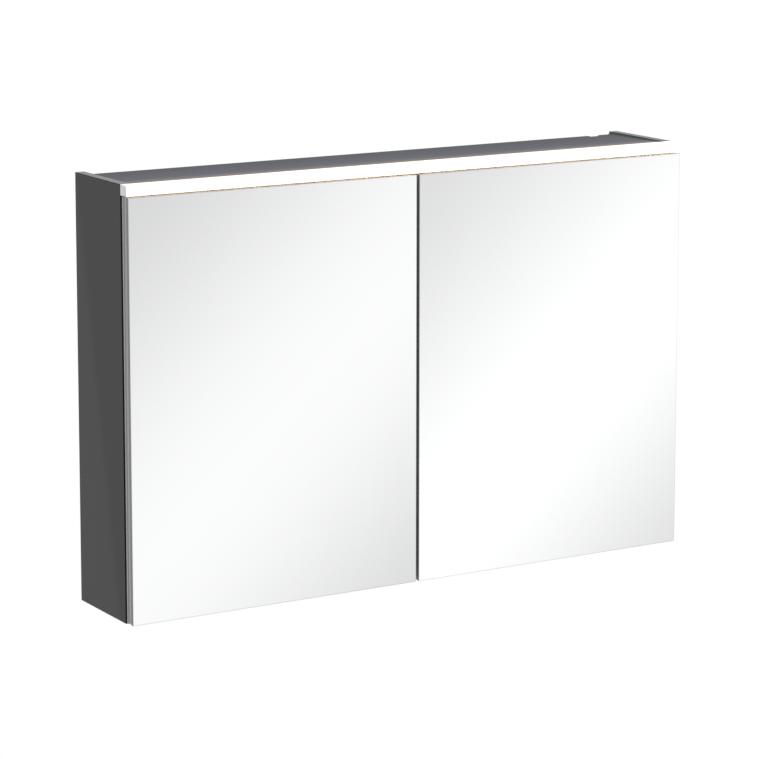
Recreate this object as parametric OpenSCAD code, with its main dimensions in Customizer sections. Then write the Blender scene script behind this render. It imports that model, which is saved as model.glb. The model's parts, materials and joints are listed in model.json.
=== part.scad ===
// Wall-hung bathroom mirror cabinet with two mirror doors under a full-width light bar.
// X runs along the width, Z is up, and the wall is the plane y = 0 with the room at negative Y.
// The origin is the centre of the four wall-screw holes. All sizes are in millimetres.

/* [Carcass] */
// Overall width of the cabinet
cabinet_w = 1000; // [900:10:1200]
// Overall height of the cabinet
cabinet_h = 668; // [600:1:750]
// Depth of the side panels, from the wall to their front edges
side_d = 155; // [150:1:180]
// Thickness of the side, top, bottom and middle panels
panel_t = 16; // [16:1:19]
// How far the top panel lies below the side panels' top edges
top_recess = 2; // [1:0.5:4]
// How far the top and bottom panels stop short of the wall
rear_inset = 18; // [18:1:20]
// Thickness of the back panel
back_t = 4; // [3:0.5:5]
// How far the bottom panel's front edge is set back, to leave room for fingers behind the doors
grip_setback = 18; // [15:1:25]
// Height of the cabinet's top above the middle of the wall screws
top_above_screws = 45; // [45:1:60]

/* [Doors] */
// Air between the carcass's front edges and the doors
door_air = 4; // [4:0.5:5]
// Thickness of each mirror sheet
mirror_t = 4; // [3:0.5:5]
// Thickness of the board between the two mirror sheets of a door
core_t = 12; // [12:0.5:16]
// How far the board's edge stays inside the mirror sheets' edges
core_inset = 0.6; // [0.3:0.1:1]
// Gap between the two doors
middle_gap = 5; // [3:0.5:6]
// How far a door's outer edge stays inside the side panel's outer face
side_reveal = 0.5; // [0:0.5:1]
// Height of the doors' bottom edges above the side panels' bottom edges
door_lift = 2; // [1:0.5:6]
// Gap between the light bar and the doors' top edges
bar_gap = 1.3; // [1:0.1:3]

/* [Hinges] */
// Distance of each hinge's middle from the door's top or bottom edge
hinge_inset = 100; // [80:1:140]
// Radius of the hinge cup let into the door
cup_r = 17.5; // [17.5:0.5:18]
// Radius of the hinge pin
pin_r = 1.5; // [1.5:0.1:1.8]

/* [Light bar] */
// Height of the light bar
bar_h = 16.5; // [16:0.5:18]
// Depth of the light bar
bar_d = 20; // [19:0.5:24]
// Wall thickness of the light bar's diffuser and of its housing
bar_wall = 2; // [1.5:0.1:2.5]
// Number of light-emitting chips on the strip
chip_count = 60; // [40:2:80]

/* [Shelves] */
// Thickness of the glass shelves
shelf_t = 5; // [4:0.5:6]
// Number of glass shelves in each half
shelf_count = 2; // [2:1:2]
// Distance between the shelf-pin holes of one column
pin_pitch = 32; // [25:1:32]

/* [Switch and socket box] */
// Width of the box
box_w = 150; // [140:1:160]
// Height of the box
box_h = 62; // [60:1:70]
// Depth of the box
box_d = 50; // [50:1:60]

/* [Hidden] */
$fn = 48;

// Carcass planes
half_w = cabinet_w / 2;
inner_x = half_w - panel_t;
top_z = top_above_screws;
base_z = top_z - cabinet_h;
top_panel_z = top_z - top_recess - panel_t;
floor_z = base_z + panel_t;
front_y = -side_d;
back_rear_y = -rear_inset - 10;
back_front_y = back_rear_y - back_t;
groove = 6;
eps = 0.01;

// Finishes
GRAPHITE = [0.30, 0.30, 0.31];
BLUE_GREY = [0.42, 0.43, 0.47];
STEEL = [0.75, 0.76, 0.78];
BLACK = [0.08, 0.08, 0.09];
WHITE = [0.95, 0.95, 0.94];
MIRROR = [0.88, 0.90, 0.92];
GLASS = [0.80, 0.88, 0.86, 0.5];

// Doors
door_rear_y = front_y - door_air;
core_rear_y = door_rear_y - mirror_t;
core_front_y = core_rear_y - core_t;
door_front_y = core_front_y - mirror_t;
door_x = half_w - side_reveal;
door_w = door_x - middle_gap / 2;
door_z = base_z + door_lift;
door_h = top_z - bar_h - bar_gap - door_z;
hinge_zs = [door_z + hinge_inset, door_z + door_h - hinge_inset];

// Hinge, measured from the pin with x towards the cabinet's middle and y towards the wall
pin_edge = 8;
pin_depth = 8;
pin_x = -door_x + pin_edge;
pin_y = door_rear_y - pin_depth;
pin_len = 19;
cup_edge = 3;
cup_x = -door_x + cup_edge + cup_r;
cup_wall = 1;
cup_deep = 13.5;
cup_flange_t = 1;
cup_flange_r = 6;
cup_screw_z = 24;
cup_screw_r = 1.8;
cup_screw_len = 12;
ear_gap = 0.5;
ear = [7.5, 6];
arm_t = 3;
arm_half_h = 5;
eye_r = 2.8;
pin_play = 0.05;
arm_reach = [14.8, -2.6];
arm_bend_x = 17;
arm_back_y = 74;
plate_t = pin_edge - panel_t + arm_bend_x - arm_t / 2 + side_reveal;
plate_front = 20;
plate_len = 44;
plate_wing_z = 16;
wing_t = 3;
wing_r = 6;
plate_screw_r = 2;
plate_screw_len = 12;
plate_screw_y = pin_y + plate_front + plate_len / 2;
arm_screw_r = 2.5;
arm_screw_y = pin_y + plate_front + 32;

// Shelves
shelf_gap = 0.5;
shelf_rear_y = back_front_y - 2;
shelf_front_y = front_y + 15;
shelf_step = (top_panel_z - floor_z) / (shelf_count + 1);
shelf_zs = [for (i = [1:shelf_count]) floor_z + i * shelf_step];
shelf_pin_r = 2.5;
shelf_pin_in = 6;
shelf_pin_out = 8;
shelf_pin_ys = [back_front_y - 18, front_y + 31];

// Panel joints
dowel_r = 4;
dowel_in_side = 10;
dowel_in_end = 20;
dowel_ys = [back_front_y - 12, front_y + 31];
joint_zs = [floor_z - panel_t / 2, top_panel_z + panel_t / 2];
cam_r = 7.5;
cam_h = 12.5;
cam_back = 24;
cam_y = -85;
cam_bolt_r = 3;
cam_thread_r = 2.5;

// Light bar
bar_low_z = top_z - bar_h;
bar_front_y = front_y - bar_d;
board_t = 1.2;
board_low_z = top_z - 10;
board_high_z = top_z - bar_wall - 0.5;
chip = 3.5;
chip_t = 1.4;
cap_t = 2;
light_screw_r = 1.6;
light_screw_len = 22;
light_screw_head_r = 2;
light_screw_z = bar_low_z + bar_wall + light_screw_head_r + 0.2;
light_screw_xs = [for (i = [-2:2]) i * (half_w - 80) / 2 + 12];

// Switch and socket box, under the top panel in the right half
box_x = half_w - 220;
box_right_x = box_x + box_w;
box_low_z = top_panel_z - box_h;
box_front_y = back_front_y - box_d;
box_mid_z = box_low_z + box_h / 2;
box_wall = 2;
switch_x = box_x + 32;
socket_x = box_x + 112;
box_screw_r = 1.8;
box_screw_len = 10;
box_screw_xs = [switch_x + 26, box_right_x - 8];

// Switch: the rocker tilts about a horizontal pin and rests with its upper half pressed in
frame_half = [10.5, 11.5];
frame_flange = [13, 14];
frame_flange_t = 1.5;
frame_deep = 14;
rocker_half = [7, 8.5];
rocker_tilt = 7;
rocker_y = box_front_y + 1;
rocker_pin_r = 1.5;
rocker_side_gap = 0.4;

// Socket: a round well with two contact sleeves in its floor
well_r = 19.5;
well_deep = 18;
socket_body_r = 21.5;
socket_flange_r = 24;
socket_flange_t = 3;
socket_body_deep = 20;
sleeve_x = 9.5;
sleeve_r = 3.4;
sleeve_bore_r = 2.45;
sleeve_len = 14;

// Driver and terminal block inside the box
driver = [78, 28, 40];
driver_x = box_x + 5;
driver_y = back_front_y - 4 - driver[1];
driver_z = box_low_z + 5;
terminal = [30, 10, 12];
terminal_x = box_x + 92;
terminal_y = back_front_y - 2 - terminal[1];
terminal_z = box_low_z + 5;

// Cable ways
notch_w = 21;
notch_deep = 10;
notch_x = half_w - 61;
grommet = [box_right_x - 12, back_rear_y, box_low_z + 23];
grommet_r = 7;
grommet_bore_r = 4;
lead_r = 1.2;
lead_clear = 0.6;
lead_x = box_x - 10;
lead_z = top_panel_z - lead_r;
lead_box_z = box_low_z + box_h - 8;
lead_bar_z = board_low_z + 1.6;
lead_rise_y = front_y + 9;
lead_start = [driver_x + 12, driver_y + driver[1] / 2, driver_z + driver[2]];
lead_route = [lead_start, [lead_start[0], lead_start[1], lead_box_z],
    [lead_x, lead_start[1], lead_box_z], [lead_x, lead_start[1], lead_z],
    [lead_x, lead_rise_y, lead_z], [lead_x, lead_rise_y, lead_bar_z],
    [lead_x, front_y - bar_wall, lead_bar_z]];
clip_ys = [-75, -115];
clip = [9, 7, 4];

// Hangers and wall plates, given for the left side and mirrored to the right
hanger_w = 20;
hanger_y = [-26, -9];
hanger_z = [-20, 26.5];
hanger_ear_w = 8;
hanger_ear_y = [-17, -9];
hanger_peg_r = 5;
hanger_peg_len = 9;
hanger_peg_zs = [-8, 18];
hook_x = -inner_x + 8;
hook_t = 4;
hook_rear_y = -2.5;
lip_top_z = 24;
adjuster_r = 3.4;
adjuster_x = -inner_x + 12;
adjuster_zs = [-8, 14];
adjuster_hole_r = 4.5;
wall_plate_t = 2;
wall_hole_x = 450;
wall_hole_z = 16;
wall_hole_r = 3;
wall_plate_x = [-inner_x + 5, -wall_hole_x + 13];
wall_plate_z = [-25, 25];
lip_w = 16;

// Door bumpers on the middle partition's front edge
bumper_r = 2.5;
bumper_t = door_air - 0.3;
bumper_x = (middle_gap / 2 + panel_t / 2) / 2;
bumper_inset = 30;

// ---------------------------------------------------------------- helpers

// A box given by its two opposite corners
module block(low, high) {
    translate(low) cube(high - low);
}

// A round bar that starts at a point and runs along +X, +Y or +Z
module bar_x(start, r, len) {
    translate(start) rotate([0, 90, 0]) cylinder(r = r, h = len);
}

module bar_y(start, r, len) {
    translate(start) rotate([-90, 0, 0]) cylinder(r = r, h = len);
}

module bar_z(start, r, len) {
    translate(start) cylinder(r = r, h = len);
}

// The children, and the same again on the other side of the middle plane
module both_sides() {
    children();
    mirror([1, 0, 0]) children();
}

// A countersunk screw whose head is flush at the start and whose shaft runs along +X or +Y
module sunk_screw(r, len) {
    head_h = r;
    cylinder(r = r, h = len);
    difference() {
        cylinder(r1 = 2 * r, r2 = r, h = head_h);
        cross_recess(r);
    }
}

module cross_recess(r) {
    for (turn = [0, 90])
        rotate([0, 0, turn]) translate([-1.2 * r, -0.2 * r, -eps]) cube([2.4 * r, 0.4 * r, 0.6 * r]);
}

// A thin lead along straight stretches, with a ball at each bend
module lead(route, r) {
    for (i = [0:len(route) - 2]) {
        step = route[i + 1] - route[i];
        reach = norm(step);
        translate(route[i]) rotate([0, acos(step[2] / reach), atan2(step[1], step[0])])
            cylinder(r = r, h = reach, $fn = 16);
        if (i > 0) translate(route[i]) sphere(r = r, $fn = 16);
    }
}

// ---------------------------------------------------------------- carcass

// Everything drilled into the left side panel's inner face
module side_drilling() {
    for (z = joint_zs, y = dowel_ys)
        bar_x([-inner_x - dowel_in_side, y, z], dowel_r, dowel_in_side + eps);
    for (z = joint_zs)
        bar_x([-inner_x - dowel_in_side, cam_y, z], cam_thread_r, dowel_in_side + eps);
    for (z = shelf_zs, row = [-1:1], y = shelf_pin_ys)
        bar_x([-inner_x - shelf_pin_in, y, z - shelf_pin_r + row * pin_pitch],
            shelf_pin_r, shelf_pin_in + eps);
    for (z = hanger_peg_zs)
        bar_x([-inner_x - hanger_peg_len, (hanger_y[0] + hanger_y[1]) / 2, z],
            hanger_peg_r, hanger_peg_len + eps);
    for (z = hinge_zs, side = [-1, 1])
        bar_x([-inner_x + wing_t - plate_screw_len, plate_screw_y, z + side * plate_wing_z],
            plate_screw_r, plate_screw_len);
}

module left_side() {
    difference() {
        block([-half_w, front_y, base_z], [-inner_x, 0, top_z]);
        side_drilling();
        block([-inner_x - groove, back_front_y, floor_z - groove],
            [-inner_x + eps, back_rear_y, top_panel_z + groove]);
    }
}

module left_side_panel() {
    color(GRAPHITE) left_side();
}

module right_side_panel() {
    color(GRAPHITE) mirror([1, 0, 0]) left_side();
}

// Dowels between the side panels and the top and bottom, and above and below the partition
module dowels() {
    both_sides() for (z = joint_zs, y = dowel_ys)
        bar_x([-inner_x - dowel_in_side, y, z], dowel_r, dowel_in_side + dowel_in_end);
    for (y = dowel_ys, z = [floor_z, top_panel_z])
        bar_z([0, y, z - dowel_in_side], dowel_r, 2 * dowel_in_side);
}

// Pockets for the cam locks and their bolts; low is the panel face that the pocket opens in
module cam_pockets(low, joint_z) {
    both_sides() {
        bar_z([-inner_x + cam_back, cam_y, low - eps], cam_r, cam_h + eps);
        bar_x([-inner_x - eps, cam_y, joint_z], dowel_r, cam_back);
    }
}

module top_panel() {
    color(BLUE_GREY) difference() {
        block([-inner_x, front_y, top_panel_z], [inner_x, -rear_inset, top_panel_z + panel_t]);
        block([-inner_x - eps, back_front_y, top_panel_z - eps],
            [inner_x + eps, back_rear_y, top_panel_z + groove]);
        block([notch_x - notch_w / 2, -rear_inset - notch_deep, top_panel_z - eps],
            [notch_x + notch_w / 2, -rear_inset + eps, top_z]);
        dowels();
        cam_pockets(top_panel_z, joint_zs[1]);
        light_screw_shafts();
        bar_z([lead_x, lead_rise_y, top_panel_z - eps], lead_r + lead_clear,
            lead_bar_z - top_panel_z + lead_r + lead_clear);
        bar_y([lead_x, front_y - eps, lead_bar_z], lead_r + lead_clear, lead_rise_y - front_y);
        for (x = box_screw_xs)
            bar_z([x, box_front_y + box_d / 2, top_panel_z - eps], box_screw_r, box_screw_len);
    }
}

module bottom_panel() {
    color(GRAPHITE) difference() {
        block([-inner_x, front_y + grip_setback, base_z], [inner_x, -rear_inset, floor_z]);
        block([-inner_x - eps, back_front_y, floor_z - groove],
            [inner_x + eps, back_rear_y, floor_z + eps]);
        dowels();
        cam_pockets(base_z, joint_zs[0]);
    }
}

module middle_partition() {
    color(GRAPHITE) difference() {
        block([-panel_t / 2, front_y, floor_z], [panel_t / 2, back_front_y, top_panel_z]);
        dowels();
        both_sides() for (z = shelf_zs, row = [-1:1], y = shelf_pin_ys)
            bar_x([panel_t / 2 - shelf_pin_in, y, z - shelf_pin_r + row * pin_pitch],
                shelf_pin_r, shelf_pin_in + eps);
    }
}

module back_panel() {
    color(GRAPHITE) difference() {
        block([-inner_x - groove, back_front_y, floor_z - groove],
            [inner_x + groove, back_rear_y, top_panel_z + groove]);
        both_sides() for (z = adjuster_zs)
            bar_y([adjuster_x, back_front_y - eps, z], adjuster_hole_r, back_t + 2 * eps);
        bar_y([grommet[0], back_front_y - eps, grommet[2]], grommet_r, back_t + 2 * eps);
    }
}

module panel_dowels() {
    color("burlywood") dowels();
}

module cam_locks() {
    for (i = [0, 1]) {
        low = joint_zs[i] - panel_t / 2;
        color(STEEL) both_sides() difference() {
            bar_z([-inner_x + cam_back, cam_y, low], cam_r, cam_h);
            bar_x([-inner_x + cam_back - cam_r - eps, cam_y, joint_zs[i]], cam_bolt_r + 0.5, cam_r + 3);
            translate([-inner_x + cam_back, cam_y, low]) cross_recess(4);
        }
    }
}

module cam_bolts() {
    color(STEEL) both_sides() for (z = joint_zs) {
        bar_x([-inner_x - dowel_in_side, cam_y, z], cam_thread_r, dowel_in_side);
        bar_x([-inner_x, cam_y, z], cam_bolt_r, cam_back);
    }
}

// ---------------------------------------------------------------- shelves

module glass_shelf(side, level) {
    low_x = panel_t / 2 + shelf_gap;
    high_x = inner_x - shelf_gap;
    color(GLASS) block([side > 0 ? low_x : -high_x, shelf_front_y, shelf_zs[level]],
        [side > 0 ? high_x : -low_x, shelf_rear_y, shelf_zs[level] + shelf_t]);
}

module shelf_pins() {
    color(STEEL) both_sides() for (z = shelf_zs, y = shelf_pin_ys) {
        bar_x([-inner_x - shelf_pin_in, y, z - shelf_pin_r], shelf_pin_r, shelf_pin_in + shelf_pin_out);
        bar_x([-panel_t / 2 - shelf_pin_out, y, z - shelf_pin_r], shelf_pin_r, shelf_pin_in + shelf_pin_out);
    }
}

// ---------------------------------------------------------------- light bar

module light_screw_shafts() {
    for (x = light_screw_xs)
        bar_y([x, front_y - bar_wall - eps, light_screw_z], light_screw_r, light_screw_len);
}

// Angle profile: a rear wall on the cabinet's front edge and a floor above the doors
module light_housing() {
    color(STEEL) difference() {
        block([-half_w + cap_t, bar_front_y + bar_wall, bar_low_z], [half_w - cap_t, front_y, top_z - bar_wall]);
        block([-half_w, bar_front_y, bar_low_z + bar_wall], [half_w, front_y - bar_wall, top_z]);
        light_screw_shafts();
        bar_y([lead_x, front_y - bar_wall - eps, lead_bar_z], lead_r + lead_clear, bar_wall + 2 * eps);
    }
}

// Angle of opal plastic: the top and the front of the bar, over its whole length
module light_diffuser() {
    color(WHITE) difference() {
        block([-half_w, bar_front_y, bar_low_z], [half_w, front_y, top_z]);
        block([-half_w - eps, bar_front_y + bar_wall, bar_low_z - eps],
            [half_w + eps, front_y + eps, top_z - bar_wall]);
    }
}

module light_cap(side) {
    color([0.8, 0.8, 0.8]) block([side > 0 ? half_w - cap_t : -half_w, bar_front_y + bar_wall, bar_low_z],
        [side > 0 ? half_w : -half_w + cap_t, front_y, top_z - bar_wall]);
}

module led_board() {
    color(WHITE) block([-half_w + 6, front_y - bar_wall - board_t, board_low_z],
        [half_w - 6, front_y - bar_wall, board_high_z]);
}

module led_chips() {
    pitch = (cabinet_w - 24) / chip_count;
    chip_z = (board_low_z + board_high_z - chip) / 2;
    color([1, 0.9, 0.6]) for (i = [0:chip_count - 1])
        translate([-half_w + 12 + (i + 0.5) * pitch - chip / 2, front_y - bar_wall - board_t - chip_t, chip_z])
            cube([chip, chip_t, chip]);
}

module light_screws() {
    head_t = 1.4;
    color(STEEL) for (x = light_screw_xs) {
        bar_y([x, front_y - bar_wall, light_screw_z], light_screw_r, light_screw_len - 2 * eps);
        difference() {
            bar_y([x, front_y - bar_wall - head_t, light_screw_z], light_screw_head_r, head_t);
            translate([x, front_y - bar_wall - head_t, light_screw_z]) rotate([-90, 0, 0])
                cross_recess(light_screw_head_r * 0.7);
        }
    }
}

module lamp_lead() {
    color(WHITE) lead(lead_route, lead_r);
}

// Saddles that hold the lead up under the top panel
module lead_clips() {
    color(BLACK) for (y = clip_ys) difference() {
        block([lead_x - clip[0] / 2, y, top_panel_z - clip[2]], [lead_x + clip[0] / 2, y + clip[1], top_panel_z]);
        bar_y([lead_x, y - eps, lead_z], lead_r, clip[1] + 2 * eps);
        block([lead_x - lead_r, y - eps, lead_z], [lead_x + lead_r, y + clip[1] + eps, top_panel_z + eps]);
    }
}

// ---------------------------------------------------------------- switch and socket box

// Cover with five walls, closed at the rear by the back panel
module power_box() {
    color(WHITE) difference() {
        block([box_x, box_front_y, box_low_z], [box_right_x, back_front_y, top_panel_z]);
        block([box_x + box_wall, box_front_y + box_wall, box_low_z + box_wall],
            [box_right_x - box_wall, back_front_y + eps, top_panel_z - box_wall]);
        block([switch_x - frame_half[0], box_front_y - eps, box_mid_z - frame_half[1]],
            [switch_x + frame_half[0], box_front_y + box_wall + eps, box_mid_z + frame_half[1]]);
        bar_y([socket_x, box_front_y - eps, box_mid_z], socket_body_r, box_wall + 2 * eps);
        bar_x([box_x - eps, lead_start[1], lead_box_z], lead_r + lead_clear, box_wall + 2 * eps);
        for (x = box_screw_xs)
            bar_z([x, box_front_y + box_d / 2, top_panel_z - box_wall - eps], box_screw_r, box_wall + 2 * eps);
    }
}

module power_box_screws() {
    head_t = 1.6;
    color(STEEL) for (x = box_screw_xs) {
        bar_z([x, box_front_y + box_d / 2, top_panel_z - box_wall], box_screw_r, box_screw_len);
        bar_z([x, box_front_y + box_d / 2, top_panel_z - box_wall - head_t], 2 * box_screw_r, head_t);
    }
}

module led_driver() {
    rib = 3;
    color(WHITE) union() {
        block([driver_x, driver_y, driver_z], [driver_x, driver_y, driver_z] + driver);
        block([driver_x + 10, driver_y + driver[1], driver_z + 4],
            [driver_x + driver[0] - 10, back_front_y, driver_z + 4 + rib]);
    }
}

module terminal_block() {
    ways = 3;
    pitch = terminal[0] / ways;
    color(WHITE) difference() {
        block([terminal_x, terminal_y, terminal_z], [terminal_x + terminal[0], back_front_y, terminal_z + terminal[2]]);
        for (i = [0:ways - 1])
            bar_y([terminal_x + (i + 0.5) * pitch, terminal_y - eps, terminal_z + terminal[2] / 2], 2, 6);
    }
}

// Bush for the supply cable where it passes through the back panel
module cable_grommet() {
    flange_t = 1.5;
    color(BLACK) difference() {
        union() {
            bar_y([grommet[0], back_front_y, grommet[2]], grommet_r, back_t);
            bar_y([grommet[0], back_rear_y, grommet[2]], grommet_r + 2, flange_t);
            bar_y([grommet[0], back_front_y - flange_t, grommet[2]], grommet_r + 2, flange_t);
        }
        bar_y([grommet[0], back_front_y - 2 * flange_t, grommet[2]], grommet_bore_r, back_t + 4 * flange_t);
    }
}

module switch_frame() {
    cavity = [rocker_half[0] + rocker_side_gap, rocker_half[1] + 1];
    pin_hole = rocker_half[0] + rocker_side_gap + 1.8;
    color(BLACK) difference() {
        union() {
            block([switch_x - frame_half[0], box_front_y, box_mid_z - frame_half[1]],
                [switch_x + frame_half[0], box_front_y + frame_deep, box_mid_z + frame_half[1]]);
            block([switch_x - frame_flange[0], box_front_y - frame_flange_t, box_mid_z - frame_flange[1]],
                [switch_x + frame_flange[0], box_front_y, box_mid_z + frame_flange[1]]);
        }
        block([switch_x - cavity[0], box_front_y - frame_flange_t - eps, box_mid_z - cavity[1]],
            [switch_x + cavity[0], box_front_y + frame_deep - 2, box_mid_z + cavity[1]]);
        bar_x([switch_x - pin_hole, rocker_y, box_mid_z], rocker_pin_r + pin_play, 2 * pin_hole);
    }
}

module switch_rocker() {
    pin_len = rocker_half[0] + rocker_side_gap + 1.5;
    profile = [[-3.5, 0], [-5, rocker_half[1]], [2, rocker_half[1]], [5, 2.5], [5, -2.5],
        [2, -rocker_half[1]], [-5, -rocker_half[1]]];
    color(BLACK) translate([switch_x, rocker_y, box_mid_z]) rotate([-rocker_tilt, 0, 0]) {
        rotate([90, 0, 90]) translate([0, 0, -rocker_half[0]])
            linear_extrude(2 * rocker_half[0]) polygon(profile);
        bar_x([-pin_len, 0, 0], rocker_pin_r, 2 * pin_len);
    }
}

module socket_insert() {
    mouth_y = box_front_y - socket_flange_t;
    floor_y = mouth_y + well_deep;
    color(WHITE) difference() {
        union() {
            bar_y([socket_x, mouth_y, box_mid_z], socket_flange_r, socket_flange_t);
            bar_y([socket_x, box_front_y, box_mid_z], socket_body_r, socket_body_deep);
        }
        bar_y([socket_x, mouth_y - eps, box_mid_z], well_r, well_deep + eps);
        for (side = [-1, 1])
            bar_y([socket_x + side * sleeve_x, floor_y - eps, box_mid_z], sleeve_r, socket_body_deep);
    }
}

module socket_contacts() {
    floor_y = box_front_y - socket_flange_t + well_deep;
    color("gold") for (side = [-1, 1]) difference() {
        bar_y([socket_x + side * sleeve_x, floor_y + 0.5, box_mid_z], sleeve_r, sleeve_len);
        bar_y([socket_x + side * sleeve_x, floor_y, box_mid_z], sleeve_bore_r, sleeve_len - 1);
    }
}

// ---------------------------------------------------------------- hangers and wall plates

module hanger_body() {
    difference() {
        union() {
            block([-inner_x, hanger_y[0], hanger_z[0]], [-inner_x + hanger_w, hanger_y[1], hanger_z[1]]);
            block([-inner_x, hanger_ear_y[0], hanger_z[1] - 1],
                [-inner_x + hanger_ear_w, hanger_ear_y[1], top_z - 2.5]);
            for (z = hanger_peg_zs)
                bar_x([-inner_x - hanger_peg_len, (hanger_y[0] + hanger_y[1]) / 2, z],
                    hanger_peg_r, hanger_peg_len + 1);
        }
        block([hook_x, -18, 0], [hook_x + hook_t, hanger_y[1] + eps, hanger_z[1] + eps]);
        for (z = adjuster_zs)
            bar_y([adjuster_x, hanger_y[0] - eps, z], adjuster_r + 0.1, 8);
    }
}

module left_hanger() {
    color(BLACK) hanger_body();
}

module right_hanger() {
    color(BLACK) mirror([1, 0, 0]) hanger_body();
}

// Steel hook that sits in the hanger and drops behind the wall plate's lip
module hook_plate() {
    outline = [[-18, 0], [-18, hanger_z[1]], [hook_rear_y, hanger_z[1]], [hook_rear_y, 10],
        [-5.5, 10], [-5.5, lip_top_z], [hanger_y[1], lip_top_z], [hanger_y[1], 0]];
    translate([hook_x, 0, 0]) rotate([90, 0, 90]) linear_extrude(hook_t) polygon(outline);
}

module left_hanger_hook() {
    color(STEEL) hook_plate();
}

module right_hanger_hook() {
    color(STEEL) mirror([1, 0, 0]) hook_plate();
}

// Screws that set a hanger's height and depth, reached through the back panel
module hanger_adjusters() {
    color(STEEL) both_sides() for (z = adjuster_zs) difference() {
        bar_y([adjuster_x, hanger_y[0] - 1, z], adjuster_r, 8);
        translate([adjuster_x, hanger_y[0] - 1, z]) rotate([-90, 0, 0]) cross_recess(2.4);
    }
}

// Covers over the adjusters, on the inside of the back panel
module hanger_caps() {
    cap_w = 22;
    cap_h = 44;
    cap_deep = 5;
    wall = 1.5;
    low = [-inner_x + 1, back_front_y - cap_deep, 3 - cap_h / 2];
    color(GRAPHITE) both_sides() difference() {
        block(low, low + [cap_w, cap_deep, cap_h]);
        block(low + [wall, wall, wall], low + [cap_w - wall, cap_deep + eps, cap_h - wall]);
    }
}

// Plate screwed to the wall, with a raised lip for the hook
module wall_plate() {
    lip_x = [wall_plate_x[0], wall_plate_x[0] + lip_w];
    difference() {
        union() {
            block([wall_plate_x[0], -wall_plate_t, wall_plate_z[0]], [wall_plate_x[1], 0, 8]);
            block([lip_x[1], -wall_plate_t, 8 - eps], [wall_plate_x[1], 0, wall_plate_z[1]]);
            block([lip_x[0], -8, 6], [lip_x[1], -wall_plate_t + eps, 8]);
            block([lip_x[0], -8, 6], [lip_x[1], -6, lip_top_z]);
        }
        for (side = [-1, 1])
            bar_y([-wall_hole_x, -wall_plate_t - eps, side * wall_hole_z], wall_hole_r, wall_plate_t + 2 * eps);
    }
}

module left_wall_plate() {
    color(STEEL) wall_plate();
}

module right_wall_plate() {
    color(STEEL) mirror([1, 0, 0]) wall_plate();
}

// ---------------------------------------------------------------- hinges on the carcass

// Cruciform plate on the side panel's inner face
module hinge_plate_pair() {
    for (z = hinge_zs) difference() {
        union() {
            block([-inner_x, pin_y + plate_front, z - arm_half_h - 1],
                [-inner_x + plate_t, pin_y + plate_front + plate_len, z + arm_half_h + 1]);
            block([-inner_x, plate_screw_y - wing_r, z - plate_wing_z],
                [-inner_x + wing_t, plate_screw_y + wing_r, z + plate_wing_z]);
            for (side = [-1, 1])
                bar_x([-inner_x, plate_screw_y, z + side * plate_wing_z], wing_r, wing_t);
        }
        for (side = [-1, 1]) {
            bar_x([-inner_x - eps, plate_screw_y, z + side * plate_wing_z], plate_screw_r, wing_t + 2 * eps);
            translate([-inner_x + wing_t, plate_screw_y, z + side * plate_wing_z]) rotate([0, -90, 0])
                cylinder(r1 = 2 * plate_screw_r, r2 = plate_screw_r, h = plate_screw_r);
        }
        bar_x([-inner_x + 1, arm_screw_y, z], arm_screw_r, plate_t);
    }
}

module left_hinge_plates() {
    color(STEEL) hinge_plate_pair();
}

module right_hinge_plates() {
    color(STEEL) mirror([1, 0, 0]) hinge_plate_pair();
}

// Gooseneck arm: an eye round the pin, a bend inside the cup, and a straight strap over the plate
module arm_outline() {
    slope = atan2(arm_reach[1], arm_reach[0]);
    side = arm_t / 2 * [-sin(slope), cos(slope)];
    circle(r = eye_r);
    polygon([-side, arm_reach - side,
        [arm_bend_x + arm_t / 2, -0.6], [arm_bend_x + arm_t / 2, arm_back_y],
        [arm_bend_x - arm_t / 2, arm_back_y], [arm_bend_x - arm_t / 2, 0.6],
        arm_reach + side, side]);
}

module hinge_arm_pair() {
    for (z = hinge_zs) translate([pin_x, pin_y, z - arm_half_h]) difference() {
        linear_extrude(2 * arm_half_h) arm_outline();
        translate([0, 0, -eps]) cylinder(r = pin_r + pin_play, h = 2 * arm_half_h + 2 * eps);
        bar_x([arm_bend_x - arm_t, arm_screw_y - pin_y, arm_half_h], arm_screw_r, 2 * arm_t);
    }
}

module left_hinge_arms() {
    color(STEEL) hinge_arm_pair();
}

module right_hinge_arms() {
    color(STEEL) mirror([1, 0, 0]) hinge_arm_pair();
}

module hinge_plate_screws() {
    color(STEEL) both_sides() for (z = hinge_zs, side = [-1, 1])
        translate([-inner_x + wing_t, plate_screw_y, z + side * plate_wing_z]) rotate([0, -90, 0])
            sunk_screw(plate_screw_r, plate_screw_len);
}

module hinge_arm_screws() {
    head_t = 1.6;
    arm_face_x = pin_x + arm_bend_x + arm_t / 2;
    color(STEEL) both_sides() for (z = hinge_zs) {
        bar_x([arm_face_x - arm_t - plate_t + 1.5, arm_screw_y, z], arm_screw_r, arm_t + plate_t - 1.5);
        difference() {
            bar_x([arm_face_x, arm_screw_y, z], 4, head_t);
            translate([arm_face_x + head_t, arm_screw_y, z]) rotate([0, -90, 0]) cross_recess(2.6);
        }
    }
}

module door_bumpers() {
    color("white") both_sides() for (z = [floor_z + bumper_inset, top_panel_z - bumper_inset])
        bar_y([bumper_x, front_y - bumper_t, z], bumper_r, bumper_t);
}

// ---------------------------------------------------------------- doors, given for the left one

module front_mirror() {
    block([-door_x, door_front_y, door_z], [-door_x + door_w, core_front_y, door_z + door_h]);
}

// Holes for the hinge cups and their screws
module cup_drilling() {
    for (z = hinge_zs) {
        bar_y([cup_x, door_rear_y - cup_deep, z], cup_r, cup_deep + eps);
        for (side = [-1, 1])
            bar_y([cup_x, door_rear_y + cup_flange_t - cup_screw_len, z + side * cup_screw_z],
                cup_screw_r, cup_screw_len);
    }
}

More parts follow.
